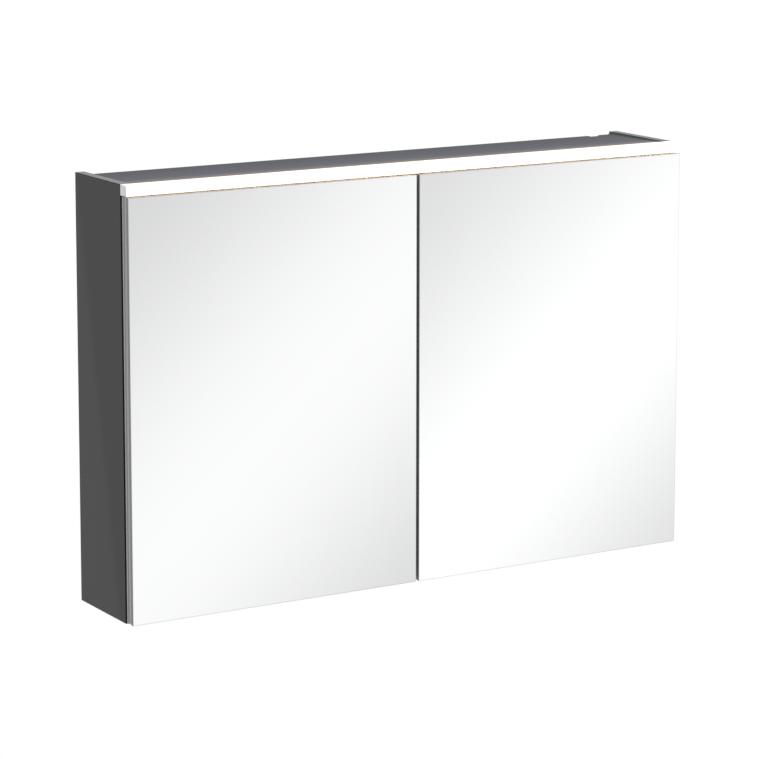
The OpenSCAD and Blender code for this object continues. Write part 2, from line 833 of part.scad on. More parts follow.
module door_core() {
    difference() {
        block([-door_x + core_inset, core_front_y, door_z + core_inset],
            [-door_x + door_w - core_inset, core_rear_y, door_z + door_h - core_inset]);
        cup_drilling();
    }
}

module inner_mirror() {
    difference() {
        block([-door_x, core_rear_y, door_z], [-door_x + door_w, door_rear_y, door_z + door_h]);
        cup_drilling();
    }
}

// Round cup with its flange, open towards the cabinet
module cup_shell(z) {
    difference() {
        union() {
            bar_y([cup_x, door_rear_y - cup_deep, z], cup_r, cup_deep);
            bar_y([cup_x, door_rear_y, z], cup_r, cup_flange_t);
            block([cup_x - cup_flange_r, door_rear_y, z - cup_screw_z],
                [cup_x + cup_flange_r, door_rear_y + cup_flange_t, z + cup_screw_z]);
            for (side = [-1, 1])
                bar_y([cup_x, door_rear_y, z + side * cup_screw_z], cup_flange_r, cup_flange_t);
        }
        bar_y([cup_x, door_rear_y - cup_deep + cup_wall, z], cup_r - cup_wall, cup_deep + cup_flange_t);
    }
}

// Ears inside the cup that hold the pin above and below the arm
module cup_ears(z) {
    intersection() {
        bar_y([cup_x, door_rear_y - cup_deep, z], cup_r - cup_wall / 2, cup_deep);
        for (ear_z = [z + arm_half_h + ear_gap, z - arm_half_h - ear_gap - cup_r])
            translate([pin_x - ear[0] / 2, pin_y - ear[1] / 2, ear_z]) cube([ear[0], ear[1], cup_r]);
    }
}

module hinge_cup_pair() {
    for (z = hinge_zs) difference() {
        union() {
            cup_shell(z);
            cup_ears(z);
        }
        bar_z([pin_x, pin_y, z - pin_len / 2], pin_r, pin_len);
        for (side = [-1, 1])
            bar_y([cup_x, door_rear_y - eps, z + side * cup_screw_z], cup_screw_r, cup_flange_t + 2 * eps);
    }
}

module hinge_pin_pair() {
    for (z = hinge_zs)
        bar_z([pin_x, pin_y, z - pin_len / 2], pin_r, pin_len);
}

module cup_screw_set() {
    head_t = 1.2;
    for (z = hinge_zs, side = [-1, 1]) {
        bar_y([cup_x, door_rear_y + cup_flange_t - cup_screw_len, z + side * cup_screw_z],
            cup_screw_r, cup_screw_len);
        difference() {
            bar_y([cup_x, door_rear_y + cup_flange_t, z + side * cup_screw_z], 2 * cup_screw_r, head_t);
            translate([cup_x, door_rear_y + cup_flange_t + head_t, z + side * cup_screw_z])
                rotate([90, 0, 0]) cross_recess(2.2);
        }
    }
}

module left_front_mirror() {
    color(MIRROR) front_mirror();
}

module left_door_core() {
    color([0.55, 0.55, 0.55]) door_core();
}

module left_inner_mirror() {
    color(MIRROR) inner_mirror();
}

module left_hinge_cups() {
    color(STEEL) hinge_cup_pair();
}

module left_hinge_pins() {
    color(STEEL) hinge_pin_pair();
}

module left_cup_screws() {
    color(STEEL) cup_screw_set();
}

module right_front_mirror() {
    color(MIRROR) mirror([1, 0, 0]) front_mirror();
}

module right_door_core() {
    color([0.55, 0.55, 0.55]) mirror([1, 0, 0]) door_core();
}

module right_inner_mirror() {
    color(MIRROR) mirror([1, 0, 0]) inner_mirror();
}

module right_hinge_cups() {
    color(STEEL) mirror([1, 0, 0]) hinge_cup_pair();
}

module right_hinge_pins() {
    color(STEEL) mirror([1, 0, 0]) hinge_pin_pair();
}

module right_cup_screws() {
    color(STEEL) mirror([1, 0, 0]) cup_screw_set();
}

// ---------------------------------------------------------------- assembly

left_side_panel();
right_side_panel();
top_panel();
bottom_panel();
middle_partition();
back_panel();
panel_dowels();
cam_locks();
cam_bolts();
glass_shelf(-1, 0);  // left_lower_shelf
glass_shelf(-1, 1);  // left_upper_shelf
glass_shelf(1, 0);  // right_lower_shelf
glass_shelf(1, 1);  // right_upper_shelf
shelf_pins();
light_housing();
light_diffuser();
light_cap(-1);  // left_light_cap
light_cap(1);  // right_light_cap
led_board();
led_chips();
light_screws();
lamp_lead();
lead_clips();
power_box();
power_box_screws();
led_driver();
terminal_block();
cable_grommet();
switch_frame();
switch_rocker();
socket_insert();
socket_contacts();
left_hanger();
right_hanger();
left_hanger_hook();
right_hanger_hook();
hanger_adjusters();
hanger_caps();
left_wall_plate();
right_wall_plate();
left_hinge_plates();
right_hinge_plates();
left_hinge_arms();
right_hinge_arms();
hinge_plate_screws();
hinge_arm_screws();
door_bumpers();
left_front_mirror();
left_door_core();
left_inner_mirror();
left_hinge_cups();
left_hinge_pins();
left_cup_screws();
right_front_mirror();
right_door_core();
right_inner_mirror();
right_hinge_cups();
right_hinge_pins();
right_cup_screws();
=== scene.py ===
"""Finishes and details of a wall-hung bathroom mirror cabinet with a light bar over its two doors.

X runs along the width, Z is up, and the wall is the plane y = 0 with the room at negative Y.
Every length is in metres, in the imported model's own frame.
"""

import json
import logging
import math
from collections.abc import Callable, Iterable, Sequence
from dataclasses import dataclass, field
from enum import Enum, IntEnum

import bmesh
import bpy
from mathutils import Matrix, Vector


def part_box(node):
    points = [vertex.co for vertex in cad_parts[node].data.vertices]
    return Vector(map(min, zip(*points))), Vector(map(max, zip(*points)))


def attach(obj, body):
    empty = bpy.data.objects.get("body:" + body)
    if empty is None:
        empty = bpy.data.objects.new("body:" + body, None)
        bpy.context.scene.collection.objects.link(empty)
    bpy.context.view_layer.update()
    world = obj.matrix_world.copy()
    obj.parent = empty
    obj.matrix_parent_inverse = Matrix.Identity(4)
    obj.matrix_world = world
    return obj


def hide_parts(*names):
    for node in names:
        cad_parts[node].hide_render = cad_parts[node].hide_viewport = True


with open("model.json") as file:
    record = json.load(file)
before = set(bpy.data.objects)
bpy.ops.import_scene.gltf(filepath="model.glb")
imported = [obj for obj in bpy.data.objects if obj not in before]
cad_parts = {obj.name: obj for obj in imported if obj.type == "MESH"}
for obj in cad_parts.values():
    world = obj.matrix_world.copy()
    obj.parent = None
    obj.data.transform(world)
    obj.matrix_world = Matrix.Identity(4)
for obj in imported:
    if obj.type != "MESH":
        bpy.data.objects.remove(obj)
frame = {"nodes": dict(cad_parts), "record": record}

LOG = logging.getLogger("mirror_cabinet")
MM = 0.001
# The cosine above which a face counts as square to an axis.
SQUARE = 0.9
# The area in square metres above which a face belongs to no drilling and no rounding.
BROAD = 1e-3
# Only the outer edges of a panel or a mirror are longer than this.
PANEL_EDGE = 100 * MM
BODY_OF = {
    node: body
    for body, nodes in frame["record"]["behaviour"]["bodies"].items()
    for node in nodes
}

Colour = tuple[float, float, float]
Point = tuple[float, float, float]
Corners = tuple[Vector, Vector]
Picker = Callable[[bmesh.types.BMFace], int]


class Side(Enum):
    """The two halves of the cabinet, with the sign of their X."""

    LEFT = -1
    RIGHT = 1

    def node(self, name: str) -> str:
        """The name of this side's CAD node, such as left_hinge_cups."""
        return f"{self.name.lower()}_{name}"


# ------------------------------------------------------------------ node trees


class NodeGraph:
    """A node tree under construction, whose inputs take values and other nodes' outputs."""

    def __init__(self, tree: bpy.types.NodeTree) -> None:
        """Keeps the tree that nodes are added to."""
        self.tree = tree

    def feed(self, socket: bpy.types.NodeSocket, value: object) -> None:
        """Links or sets one input.

        Args:
            socket: the input to fill.
            value: a plain value, an output socket, or a list of sockets for a multiple input.
        """
        if isinstance(value, bpy.types.NodeSocket):
            self.tree.links.new(value, socket)
        elif isinstance(value, list):
            for source in value:
                self.tree.links.new(source, socket)
        else:
            socket.default_value = value

    def add(
        self, kind: str, inputs: dict[str | int, object] | None = None, **settings: object
    ) -> bpy.types.Node:
        """Adds a node.

        Args:
            kind: Blender's name for the node type.
            inputs: what goes into its inputs, by name or by number.
            settings: the node's own options.

        Returns:
            The new node.
        """
        node = self.tree.nodes.new(kind)
        for option, value in settings.items():
            setattr(node, option, value)
        for key, value in (inputs or {}).items():
            self.feed(node.inputs[key], value)
        return node

    def sum(self, operation: str, first: object, second: object) -> bpy.types.NodeSocket:
        """One step of arithmetic.

        Args:
            operation: Blender's name for it, such as MULTIPLY.
            first: the first number or socket.
            second: the second number or socket.

        Returns:
            The result's socket.
        """
        return self.add("ShaderNodeMath", {0: first, 1: second}, operation=operation).outputs[0]

    def times(self, first: object, second: object) -> bpy.types.NodeSocket:
        """Two numbers or sockets multiplied."""
        return self.sum("MULTIPLY", first, second)

    def ranged(
        self,
        value: object,
        start: float,
        end: float,
        low: float = 0.0,
        high: float = 1.0,
        **settings: object,
    ) -> bpy.types.NodeSocket:
        """Carries a number evenly from one range to another.

        Args:
            value: the number's socket.
            start: its value where the result is low.
            end: its value where the result is high.
            low: the result at start.
            high: the result at end.
            settings: the node's own options.

        Returns:
            The result's socket.
        """
        levels = {0: value, 1: start, 2: end, 3: low, 4: high}
        return self.add("ShaderNodeMapRange", levels, **settings).outputs[0]

    def axes(self) -> bpy.types.Node:
        """A node whose three outputs are the object's own X, Y and Z."""
        place = self.add("ShaderNodeTexCoord").outputs["Object"]
        return self.add("ShaderNodeSeparateXYZ", {0: place})

    def vector(self, x: object, y: object, z: object) -> bpy.types.NodeSocket:
        """A vector made from three numbers or sockets."""
        return self.add("ShaderNodeCombineXYZ", {0: x, 1: y, 2: z}).outputs[0]


class ShaderGraph(NodeGraph):
    """A material's tree round one shader, with patterns on the object's own coordinates."""

    def __init__(self, name: str) -> None:
        """Makes the empty material.

        Args:
            name: the material's name.
        """
        self.material = bpy.data.materials.new(name)
        self.material.use_nodes = True
        super().__init__(self.material.node_tree)
        self.tree.nodes.clear()
        self.shader = self.add("ShaderNodeBsdfPrincipled")
        self.add("ShaderNodeOutputMaterial", {"Surface": self.shader.outputs[0]})
        self.place = self.add("ShaderNodeTexCoord").outputs["Object"]

    def set(self, **values: object) -> None:
        """Fills the shader's inputs.

        Args:
            values: what goes into each input, named with underscores for spaces.
        """
        for name, value in values.items():
            if isinstance(value, tuple) and len(value) == 3:
                value = (*value, 1.0)
            self.feed(self.shader.inputs[name.replace("_", " ")], value)

    def grain(
        self, scale: float, detail: float = 3.0, stretch: Point = (1, 1, 1)
    ) -> bpy.types.NodeSocket:
        """A noise pattern.

        Args:
            scale: cells per metre.
            detail: how many finer layers it has.
            stretch: factors that draw it out along an axis where they are small.

        Returns:
            The pattern's value, from 0 to 1.
        """
        at = self.add("ShaderNodeMapping", {"Vector": self.place, "Scale": stretch}).outputs[0]
        return self.add(
            "ShaderNodeTexNoise", {"Vector": at, "Scale": scale, "Detail": detail}
        ).outputs[0]

    def shift(
        self, value: object, low: float, high: float, start: float = 0.3, end: float = 0.7
    ) -> bpy.types.NodeSocket:
        """Moves a pattern smoothly from one number to another.

        Args:
            value: the pattern.
            low: the result at and before start.
            high: the result at and after end.
            start: the pattern's value where the change begins.
            end: the pattern's value where it is complete.

        Returns:
            The result's socket.
        """
        return self.ranged(value, start, end, low, high, interpolation_type="SMOOTHSTEP")

    def blend(self, value: object, first: object, second: object) -> bpy.types.NodeSocket:
        """Mixes two colours.

        Args:
            value: how much of the second colour there is.
            first: a colour or a colour's socket.
            second: a colour or a colour's socket.

        Returns:
            The mixed colour's socket.
        """
        first, second = (
            (*c, 1.0) if isinstance(c, tuple) and len(c) == 3 else c for c in (first, second)
        )
        inputs = {0: value, 6: first, 7: second}
        return self.add("ShaderNodeMix", inputs, data_type="RGBA").outputs[2]

    def relief(self, height: object, distance: float, strength: float = 1.0) -> None:
        """Gives the surface a fine relief.

        Args:
            height: the pattern that it follows.
            distance: its full depth in metres.
            strength: how much of it shows.
        """
        bump = self.add(
            "ShaderNodeBump", {"Strength": strength, "Distance": distance, "Height": height}
        )
        self.set(Normal=bump.outputs[0])

    def along(self, axis: str) -> bpy.types.NodeSocket:
        """The object's own coordinate along X, Y or Z."""
        return self.axes().outputs[axis]


# ------------------------------------------------------------------ finishes


def shaded(colour: Colour, factor: float) -> Colour:
    """A colour made darker or lighter by a factor."""
    return tuple(c * factor for c in colour)


@dataclass(frozen=True)
class Finish:
    """What every finish shares: its name, and the record's material slot that it belongs to."""

    name: str
    slot: str

    def material(self) -> bpy.types.Material:
        """The finish as a Blender material, made once."""
        return bpy.data.materials.get(self.name) or self.mix()

    def mix(self) -> bpy.types.Material:
        """Builds the material.

        Returns:
            The new material.
        """
        graph = ShaderGraph(self.name)
        self.dress(graph)
        return graph.material

    def dress(self, graph: ShaderGraph) -> None:
        """Sets the shader's inputs; each kind of finish has its own way."""
        raise NotImplementedError


@dataclass(frozen=True)
class GlossLacquer(Finish):
    """A polished clear lacquer over a toned face, with a faint orange peel and wiping haze."""

    colour: Colour
    coat: float = 1.0
    polish: float = 0.04
    cloud: float = 0.05
    coat_ior: float = 1.5
    peel_depth: float = 3e-6

    def dress(self, graph: ShaderGraph) -> None:
        """Sets the shader's inputs; only the clear coat mirrors its surroundings.

        Args:
            graph: the material's tree.
        """
        dark, light = shaded(self.colour, 1 - self.cloud), shaded(self.colour, 1 + self.cloud)
        haze = graph.grain(scale=14, detail=6)
        graph.set(
            Base_Color=graph.blend(graph.grain(scale=3.5, detail=4), dark, light),
            Roughness=graph.shift(haze, low=0.30, high=0.42),
            Specular_IOR_Level=0.0,
            Coat_Weight=self.coat,
            Coat_Roughness=self.polish,
            Coat_IOR=self.coat_ior,
        )
        graph.relief(graph.grain(scale=420, detail=2), self.peel_depth, strength=0.25)


@dataclass(frozen=True, kw_only=True)
class LampLitLacquer(GlossLacquer):
    """The same lacquer on the top, with the lamp's warm spill painted along its front edge as a
    glow, and painted shade that darkens it towards the rear.
    """

    front_y: float
    rear_y: float
    reach: float = 44 * MM
    painted_spill: float = 0.27
    warm: Colour = (1.0, 0.52, 0.22)
    painted_rear_shade: float = 0.62
    front_shade: float = 1.1
    mottle: float = 0.2
    falloff: float = 3.0

    def dress(self, graph: ShaderGraph) -> None:
        """Sets the shader's inputs, with painted shade from rear to front and the painted spill as
        a weak glow.

        Args:
            graph: the material's tree.
        """
        super().dress(graph)
        y = graph.along("Y")
        # Painted light: the lamp's warm spill, a glow that fades back from the top's front edge.
        near = graph.ranged(y, self.front_y + self.reach, self.front_y)
        fade = graph.sum("POWER", near, self.falloff)
        # Painted shade: the top is darker towards the rear and lighter towards the lamp.
        across = graph.shift(y, 0.0, 1.0, self.rear_y, self.front_y)
        clouds = graph.times(graph.grain(scale=3.5, detail=4), self.mottle)
        tone = graph.sum("ADD", clouds, across)
        dark, light = shaded(self.colour, self.painted_rear_shade), shaded(self.colour, self.front_shade)
        graph.set(
            Base_Color=graph.blend(tone, dark, light),
            Emission_Color=graph.blend(fade, (1.0, 1.0, 1.0), self.warm),
            Emission_Strength=graph.times(fade, self.painted_spill),
        )


@dataclass(frozen=True)
class MelamineFace(Finish):
    """A satin melamine or foil face with a fine pressed pore pattern."""

    colour: Colour
    roughness: float = 0.48
    pore: float = 1400
    gloss: float = 0.45
    pore_depth: float = 2.5e-5

    def dress(self, graph: ShaderGraph) -> None:
        """Sets the shader's inputs.

        Args:
            graph: the material's tree.
        """
        pores = graph.grain(self.pore, detail=4)
        dark, light = shaded(self.colour, 0.88), shaded(self.colour, 1.1)
        graph.set(
            Base_Color=graph.blend(graph.grain(scale=9, detail=7), dark, light),
            Roughness=graph.shift(pores, self.roughness - 0.06, self.roughness + 0.08),
            Specular_IOR_Level=self.gloss,
        )
        graph.relief(pores, self.pore_depth, strength=0.5)


@dataclass(frozen=True)
class PlatedMetal(Finish):
    """Bare, plated or anodised metal, clouded or brushed along one axis."""

    colour: Colour
    roughness: float = 0.28
    brushed: Point = (1, 1, 1)
    lines: float = 260
    warm: float = 0.0
    tarnish: float = 0.86
    line_depth: float = 1.2e-5

    def dress(self, graph: ShaderGraph) -> None:
        """Sets the shader's inputs.

        Args:
            graph: the material's tree.
        """
        brushing = graph.grain(self.lines, detail=5, stretch=self.brushed)
        cloud = graph.shift(graph.grain(scale=70, detail=5), 0.0, 1.0, start=0.35, end=0.75)
        red, green, blue = self.colour
        dull = (
            red * (self.tarnish + self.warm),
            green * self.tarnish,
            blue * (self.tarnish - self.warm),
        )
        graph.set(
            Base_Color=graph.blend(cloud, self.colour, dull),
            Metallic=1.0,
            Roughness=graph.shift(brushing, self.roughness - 0.07, self.roughness + 0.09),
        )
        graph.relief(brushing, self.line_depth, strength=0.35)


@dataclass(frozen=True)
class SilveredGlass(Finish):
    """Silvered float glass, almost perfectly smooth, with the faintest wiping haze."""

    tint: Colour = (0.955, 0.96, 0.96)
    haze: float = 0.012

    def dress(self, graph: ShaderGraph) -> None:
        """Sets the shader's inputs.

        Args:
            graph: the material's tree.
        """
        deep = shaded(self.tint, 0.992)
        graph.set(
            Base_Color=graph.blend(graph.grain(scale=4, detail=3), self.tint, deep),
            Metallic=1.0,
            Roughness=graph.shift(graph.grain(scale=22, detail=5), 0.0, self.haze),
        )


@dataclass(frozen=True)
class GroundEdge(Finish):
    """The ground and polished rim of a sheet of glass, with its fine grinding lines."""

    colour: Colour
    lines: Point = (60, 900, 60)
    line_depth: float = 1.5e-5

    def dress(self, graph: ShaderGraph) -> None:
        """Sets the shader's inputs.

        Args:
            graph: the material's tree.
        """
        grinding = graph.grain(scale=3, detail=3, stretch=self.lines)
        graph.set(
            Base_Color=graph.blend(grinding, self.colour, shaded(self.colour, 0.86)),
            Roughness=graph.shift(grinding, low=0.22, high=0.4),
            Coat_Weight=0.6,
            Coat_Roughness=0.12,
        )
        graph.relief(grinding, self.line_depth, strength=0.3)


@dataclass(frozen=True)
class LayeredEdge(Finish):
    """The edge of a pressed board between two sheets, with one lighter layer in its middle."""

    colour: Colour
    layer: Colour
    middle_y: float
    half: float = 1.9 * MM
    soft: float = 0.3 * MM
    fibre_depth: float = 2e-5

    def dress(self, graph: ShaderGraph) -> None:
        """Sets the shader's inputs.

        Args:
            graph: the material's tree.
        """
        off = graph.sum("ABSOLUTE", graph.sum("SUBTRACT", graph.along("Y"), self.middle_y), 0.0)
        inside = graph.shift(off, 1.0, 0.0, self.half - self.soft, self.half + self.soft)
        fibre = graph.grain(scale=1500, detail=4, stretch=(1, 1, 0.3))
        board = graph.blend(fibre, self.colour, shaded(self.colour, 0.9))
        graph.set(
            Base_Color=graph.blend(inside, board, self.layer),
            Roughness=graph.shift(fibre, low=0.42, high=0.58),
        )
        graph.relief(fibre, self.fibre_depth, strength=0.4)


@dataclass(frozen=True)
class ClearGlass(Finish):
    """Clear float glass or clear silicone that light passes through."""

    tint: Colour = (0.90, 0.965, 0.94)
    roughness: float = 0.0
    ior: float = 1.5

    def dress(self, graph: ShaderGraph) -> None:
        """Sets the shader's inputs.

        Args:
            graph: the material's tree.
        """
        haze = graph.grain(scale=30, detail=5)
        deep = shaded(self.tint, 0.985)
        graph.set(
            Base_Color=graph.blend(graph.grain(scale=7, detail=3), self.tint, deep),
            Roughness=graph.shift(haze, self.roughness, self.roughness + 0.02),
            IOR=self.ior,
            Transmission_Weight=1.0,
        )


@dataclass(frozen=True)
class MouldedPlastic(Finish):
    """Injection-moulded plastic with a fine spark-eroded texture."""

    colour: Colour
    roughness: float = 0.4
    texture: float = 1900
    depth: float = 2e-5
    glow: float = 0.0

    def dress(self, graph: ShaderGraph) -> None:
        """Sets the shader's inputs.

        Args:
            graph: the material's tree.
        """
        texture = graph.grain(self.texture, detail=3)
        dark = shaded(self.colour, 0.93)
        graph.set(
            Base_Color=graph.blend(graph.grain(scale=25, detail=5), self.colour, dark),
            Roughness=graph.shift(texture, self.roughness - 0.05, self.roughness + 0.08),
        )
        if self.glow:
            graph.set(Emission_Color=self.colour, Emission_Strength=self.glow)
        graph.relief(texture, self.depth, strength=0.4)


@dataclass(frozen=True)
class TurnedBeech(Finish):
    """Pale beech with its grain along the dowel and short dark flecks."""

    colour: Colour = (0.56, 0.37, 0.20)
    fleck: Colour = (0.30, 0.17, 0.08)
    grain_depth: float = 4e-5

    def dress(self, graph: ShaderGraph) -> None:
        """Sets the shader's inputs.

        Args:
            graph: the material's tree.
        """
        grain = graph.grain(scale=60, detail=6, stretch=(1, 6, 6))
        flecks = graph.grain(scale=300, detail=2, stretch=(0.4, 3, 3))
        dark = graph.shift(flecks, 0.0, 0.6, start=0.62, end=0.7)
        wood = graph.blend(grain, self.colour, shaded(self.colour, 0.72))
        graph.set(
            Base_Color=graph.blend(dark, wood, self.fleck),
            Roughness=graph.shift(grain, low=0.5, high=0.68),
        )
        graph.relief(grain, self.grain_depth, strength=0.5)


@dataclass(frozen=True)
class LitOpal(Finish):
    """Opal acrylic lit from inside, a little warmer and dimmer along its rear and lower edges."""

    rear_y: float
    low_z: float
    unlit: Colour = (0.45, 0.45, 0.44)
    white: Colour = (1.0, 0.995, 0.98)
    rear_tone: Colour = (0.60, 0.53, 0.41)
    low_tone: Colour = (0.40, 0.34, 0.22)
    rear_band: float = 9 * MM
    low_band: float = 1.8 * MM

    def dress(self, graph: ShaderGraph) -> None:
        """Sets the shader's inputs.

        Args:
            graph: the material's tree.
        """
        rear = graph.shift(graph.along("Y"), 0.0, 1.0, self.rear_y - self.rear_band, self.rear_y)
        low = graph.shift(graph.along("Z"), 1.0, 0.0, self.low_z, self.low_z + self.low_band)
        tone = graph.blend(low, graph.blend(rear, self.white, self.rear_tone), self.low_tone)
        graph.set(
            Base_Color=self.unlit,
            Roughness=graph.shift(graph.grain(scale=900, detail=2), low=0.3, high=0.42),
            Emission_Color=tone,
            Emission_Strength=graph.shift(graph.grain(scale=30, detail=3), low=1.02, high=1.07),
        )


GRAPHITE = GlossLacquer("graphite gloss lacquer", "graphite_gloss", (0.0535, 0.0531, 0.0531))
# A lit copy of the graphite lacquer: its lighter colour is a painted highlight on the panels'
# edges.
GRAPHITE_PAINTED_HIGHLIGHT_BAND = GlossLacquer(
    "graphite edge band", "graphite_gloss", (0.30, 0.30, 0.30), coat=0.5, polish=0.12
)
# A shaded copy of the graphite: the front edges lie in the shaded gap behind the doors, and this
# near-black colour is painted shadow.
SHADOW_BAND = MelamineFace(
    "dark front edge band", "graphite_gloss", (0.012, 0.012, 0.013), gloss=0.12
)
GLUE_LINE = MelamineFace("dark glue line", "graphite_gloss", (0.012, 0.012, 0.012), gloss=0.05)
INSIDE = MelamineFace("graphite melamine inside", "graphite_inside", (0.115, 0.116, 0.121))
BEECH = TurnedBeech("turned beech", "beech")
ZINC = PlatedMetal("zinc-plated steel", "zinc_steel", (0.66, 0.67, 0.69), 0.32, warm=0.05)
NICKEL = PlatedMetal("nickel-plated steel", "nickel_steel", (0.72, 0.70, 0.66), 0.22)
NICKEL_BRUSHED = PlatedMetal(
    "nickel-plated strap", "nickel_steel", (0.70, 0.68, 0.64), 0.26, (1, 0.1, 1)
)
ALUMINIUM = PlatedMetal(
    "brushed lamp aluminium", "lamp_aluminium", (0.78, 0.79, 0.80), 0.34, (0.02, 1, 1), 700
)
BRASS = PlatedMetal("contact brass", "contact_brass", (0.80, 0.58, 0.27), 0.24, warm=0.06)
SILVER = SilveredGlass("silvered mirror", "mirror_glass")
FRONT_RIM = GroundEdge("ground front mirror rim", "mirror_glass", (0.205, 0.207, 0.207))
# The mirror sheets' top rims catch the lamp's warm light; this pale warm colour is painted
# lamplight.
UPPER_RIM = GroundEdge("ground upper mirror rim", "mirror_glass", (0.86, 0.83, 0.78))
MARGIN = SilveredGlass("mirror margin", "mirror_glass", (0.80, 0.81, 0.81))
INNER_RIM = GroundEdge("ground inner mirror rim", "mirror_glass", (0.35, 0.353, 0.353))
MIRROR_BACK = MouldedPlastic("mirror backing paint", "mirror_glass", (0.16, 0.17, 0.18), 0.6)
# The door board's top edge catches the lamp's warm light; this pale warm colour is painted
# lamplight.
PAINTED_LAMPLIGHT_BAND = MelamineFace("door board upper band", "core_edge", (0.80, 0.76, 0.69))
SHELF_FACE = ClearGlass("shelf glass", "shelf_glass")
SHELF_RIM = ClearGlass("shelf glass rim", "shelf_glass", (0.42, 0.74, 0.64), 0.14)
# The end cap finishes' faint glow, here and on the joint below, is partly light from the chips
# through the plastic and partly painted light that brightens the caps.
CAP = MouldedPlastic("lamp end cap", "lamp_cap", (0.66, 0.66, 0.655), 0.36, glow=0.07)
LIT_EDGE = MouldedPlastic("lit lower edge", "opal_diffuser", (1.0, 0.74, 0.48), 0.36, glow=4.5)
CAP_LINE = MouldedPlastic("lamp end cap joint", "lamp_cap", (0.76, 0.76, 0.75), 0.4, glow=0.12)
WHITE = MouldedPlastic("white moulded plastic", "white_plastic", (0.80, 0.80, 0.785), 0.36)
BLACK = MouldedPlastic("black moulded plastic", "black_plastic", (0.020, 0.020, 0.022), 0.42)
RUBBER = MouldedPlastic("grommet rubber", "grommet_rubber", (0.026, 0.026, 0.026), 0.74, 900, 5e-5)
CLEAR = ClearGlass("clear bumper", "clear_bumper", (0.93, 0.94, 0.95), 0.2, 1.42)
PHOSPHOR = MouldedPlastic("chip phosphor", "led_phosphor", (0.95, 0.72, 0.22), 0.5, glow=1.4)
BOARD_MASK = MouldedPlastic(
    "white solder mask", "white_plastic", (0.86, 0.86, 0.84), 0.3, texture=2600, depth=8e-6
)
LEAD_SHEATH = MouldedPlastic("lead sheath", "white_plastic", (0.74, 0.74, 0.72), 0.5, 1200)


# ------------------------------------------------------------------ shaping

WELD_GAP = 0.002 * MM
FLAT_ANGLE = math.radians(0.4)
SHADING_ANGLE = math.radians(32)
BROKEN_ANGLE = math.radians(35)


def merged(node: str) -> bmesh.types.BMesh:
    """A copy of a CAD node's mesh with its doubles merged and its flat faces whole.

    Args:
        node: the CAD node's name.

    Returns:
        The copy, for the caller to shape and free.
    """
    solid = bmesh.new()
    solid.from_mesh(frame["nodes"][node].data)
    bmesh.ops.remove_doubles(solid, verts=solid.verts, dist=WELD_GAP)
    bmesh.ops.dissolve_limit(solid, angle_limit=FLAT_ANGLE, verts=solid.verts, edges=solid.edges)
    for layer in list(solid.loops.layers.uv.values()):
        solid.loops.layers.uv.remove(layer)
    return solid


def loose_solids(node: str) -> list[Corners]:
    """The boxes of a CAD node's separate solids.

    Args:
        node: the CAD node's name.

    Returns:
        Each solid's lowest and highest corner, in order along X, then Y, then Z, to 0.1 mm.
    """
    solid = merged(node)
    left = set(solid.verts)
    boxes: list[Corners] = []
    while left:
        front = [left.pop()]
        found = list(front)
        while front:
            near = {e.other_vert(v) for v in front for e in v.link_edges} & left
            left -= near
            front = list(near)
            found += front
        low, high = (Vector([end(v.co[i] for v in found) for i in range(3)]) for end in (min, max))
        boxes.append((low, high))
    solid.free()
    return sorted(boxes, key=lambda b: tuple(round(c, 4) for c in b[0]))


def to_mesh(solid: bmesh.types.BMesh, name: str, smooth: bool) -> bpy.types.Mesh:
    """Turns a finished solid into a mesh and frees it.

    Args:
        solid: what was built.
        name: the mesh's name.
        smooth: whether gentle curves are shaded round.

    Returns:
        The mesh, with no materials yet.
    """
    mesh = bpy.data.meshes.new(name)
    solid.to_mesh(mesh)
    solid.free()
    for attribute in [a for a in mesh.attributes if a.name == "custom_normal"]:
        mesh.attributes.remove(attribute)
    round_off(mesh, smooth)
    return mesh


def round_off(mesh: bpy.types.Mesh, smooth: bool = True) -> None:
    """Shades a mesh flat, or round except at its sharp edges.

    Args:
        mesh: the mesh.
        smooth: whether gentle curves are shaded round.
    """
    mesh.polygons.foreach_set("use_smooth", [smooth] * len(mesh.polygons))
    if smooth:
        mesh.set_sharp_from_angle(angle=SHADING_ANGLE)


def softened(
    node: str,
    radius: float,
    segments: int = 2,
    shortest: float = 4 * MM,
    smooth: bool = False,
    pick: Picker | None = None,
    seam: int = -1,
    margin: tuple[int, float, int] | None = None,
) -> bpy.types.Mesh:
    """A copy of a CAD node whose outer edges are broken.

    Args:
        node: the CAD node's name.
        radius: the width of the rounding or chamfer.
        segments: how many facets it has.
        shortest: edges shorter than this, such as those round a drilling, stay sharp; at 0 all
            are broken, and the rounding narrows where two of them would meet.
        smooth: whether gentle curves are shaded round.
        pick: gives each face the number of its finish.
        seam: the number of the rounding's own finish, or -1 for its neighbours'.
        margin: the number of a finish whose faces get a border, its width, and its own finish.

    Returns:
        The shaped mesh.
    """
    solid = merged(node)
    for face in solid.faces:
        face.material_index = pick(face) if pick else 0
    edges = [
        e
        for e in solid.edges
        if len(e.link_faces) == 2
        and e.is_convex
        and e.calc_face_angle(0.0) > BROKEN_ANGLE
        and e.calc_length() > shortest
    ]
    bmesh.ops.bevel(
        solid,
        geom=edges,
        offset=radius,
        offset_type="OFFSET",
        segments=segments,
        profile=0.5,
        affect="EDGES",
        clamp_overlap=shortest < MM,
        material=seam,
    )
    if margin:
        bordered = [f for f in solid.faces if f.material_index == margin[0]]
        rim = bmesh.ops.inset_region(solid, faces=bordered, thickness=margin[1])
        for face in rim["faces"]:
            face.material_index = margin[2]
    return to_mesh(solid, f"{node}_shape", smooth)


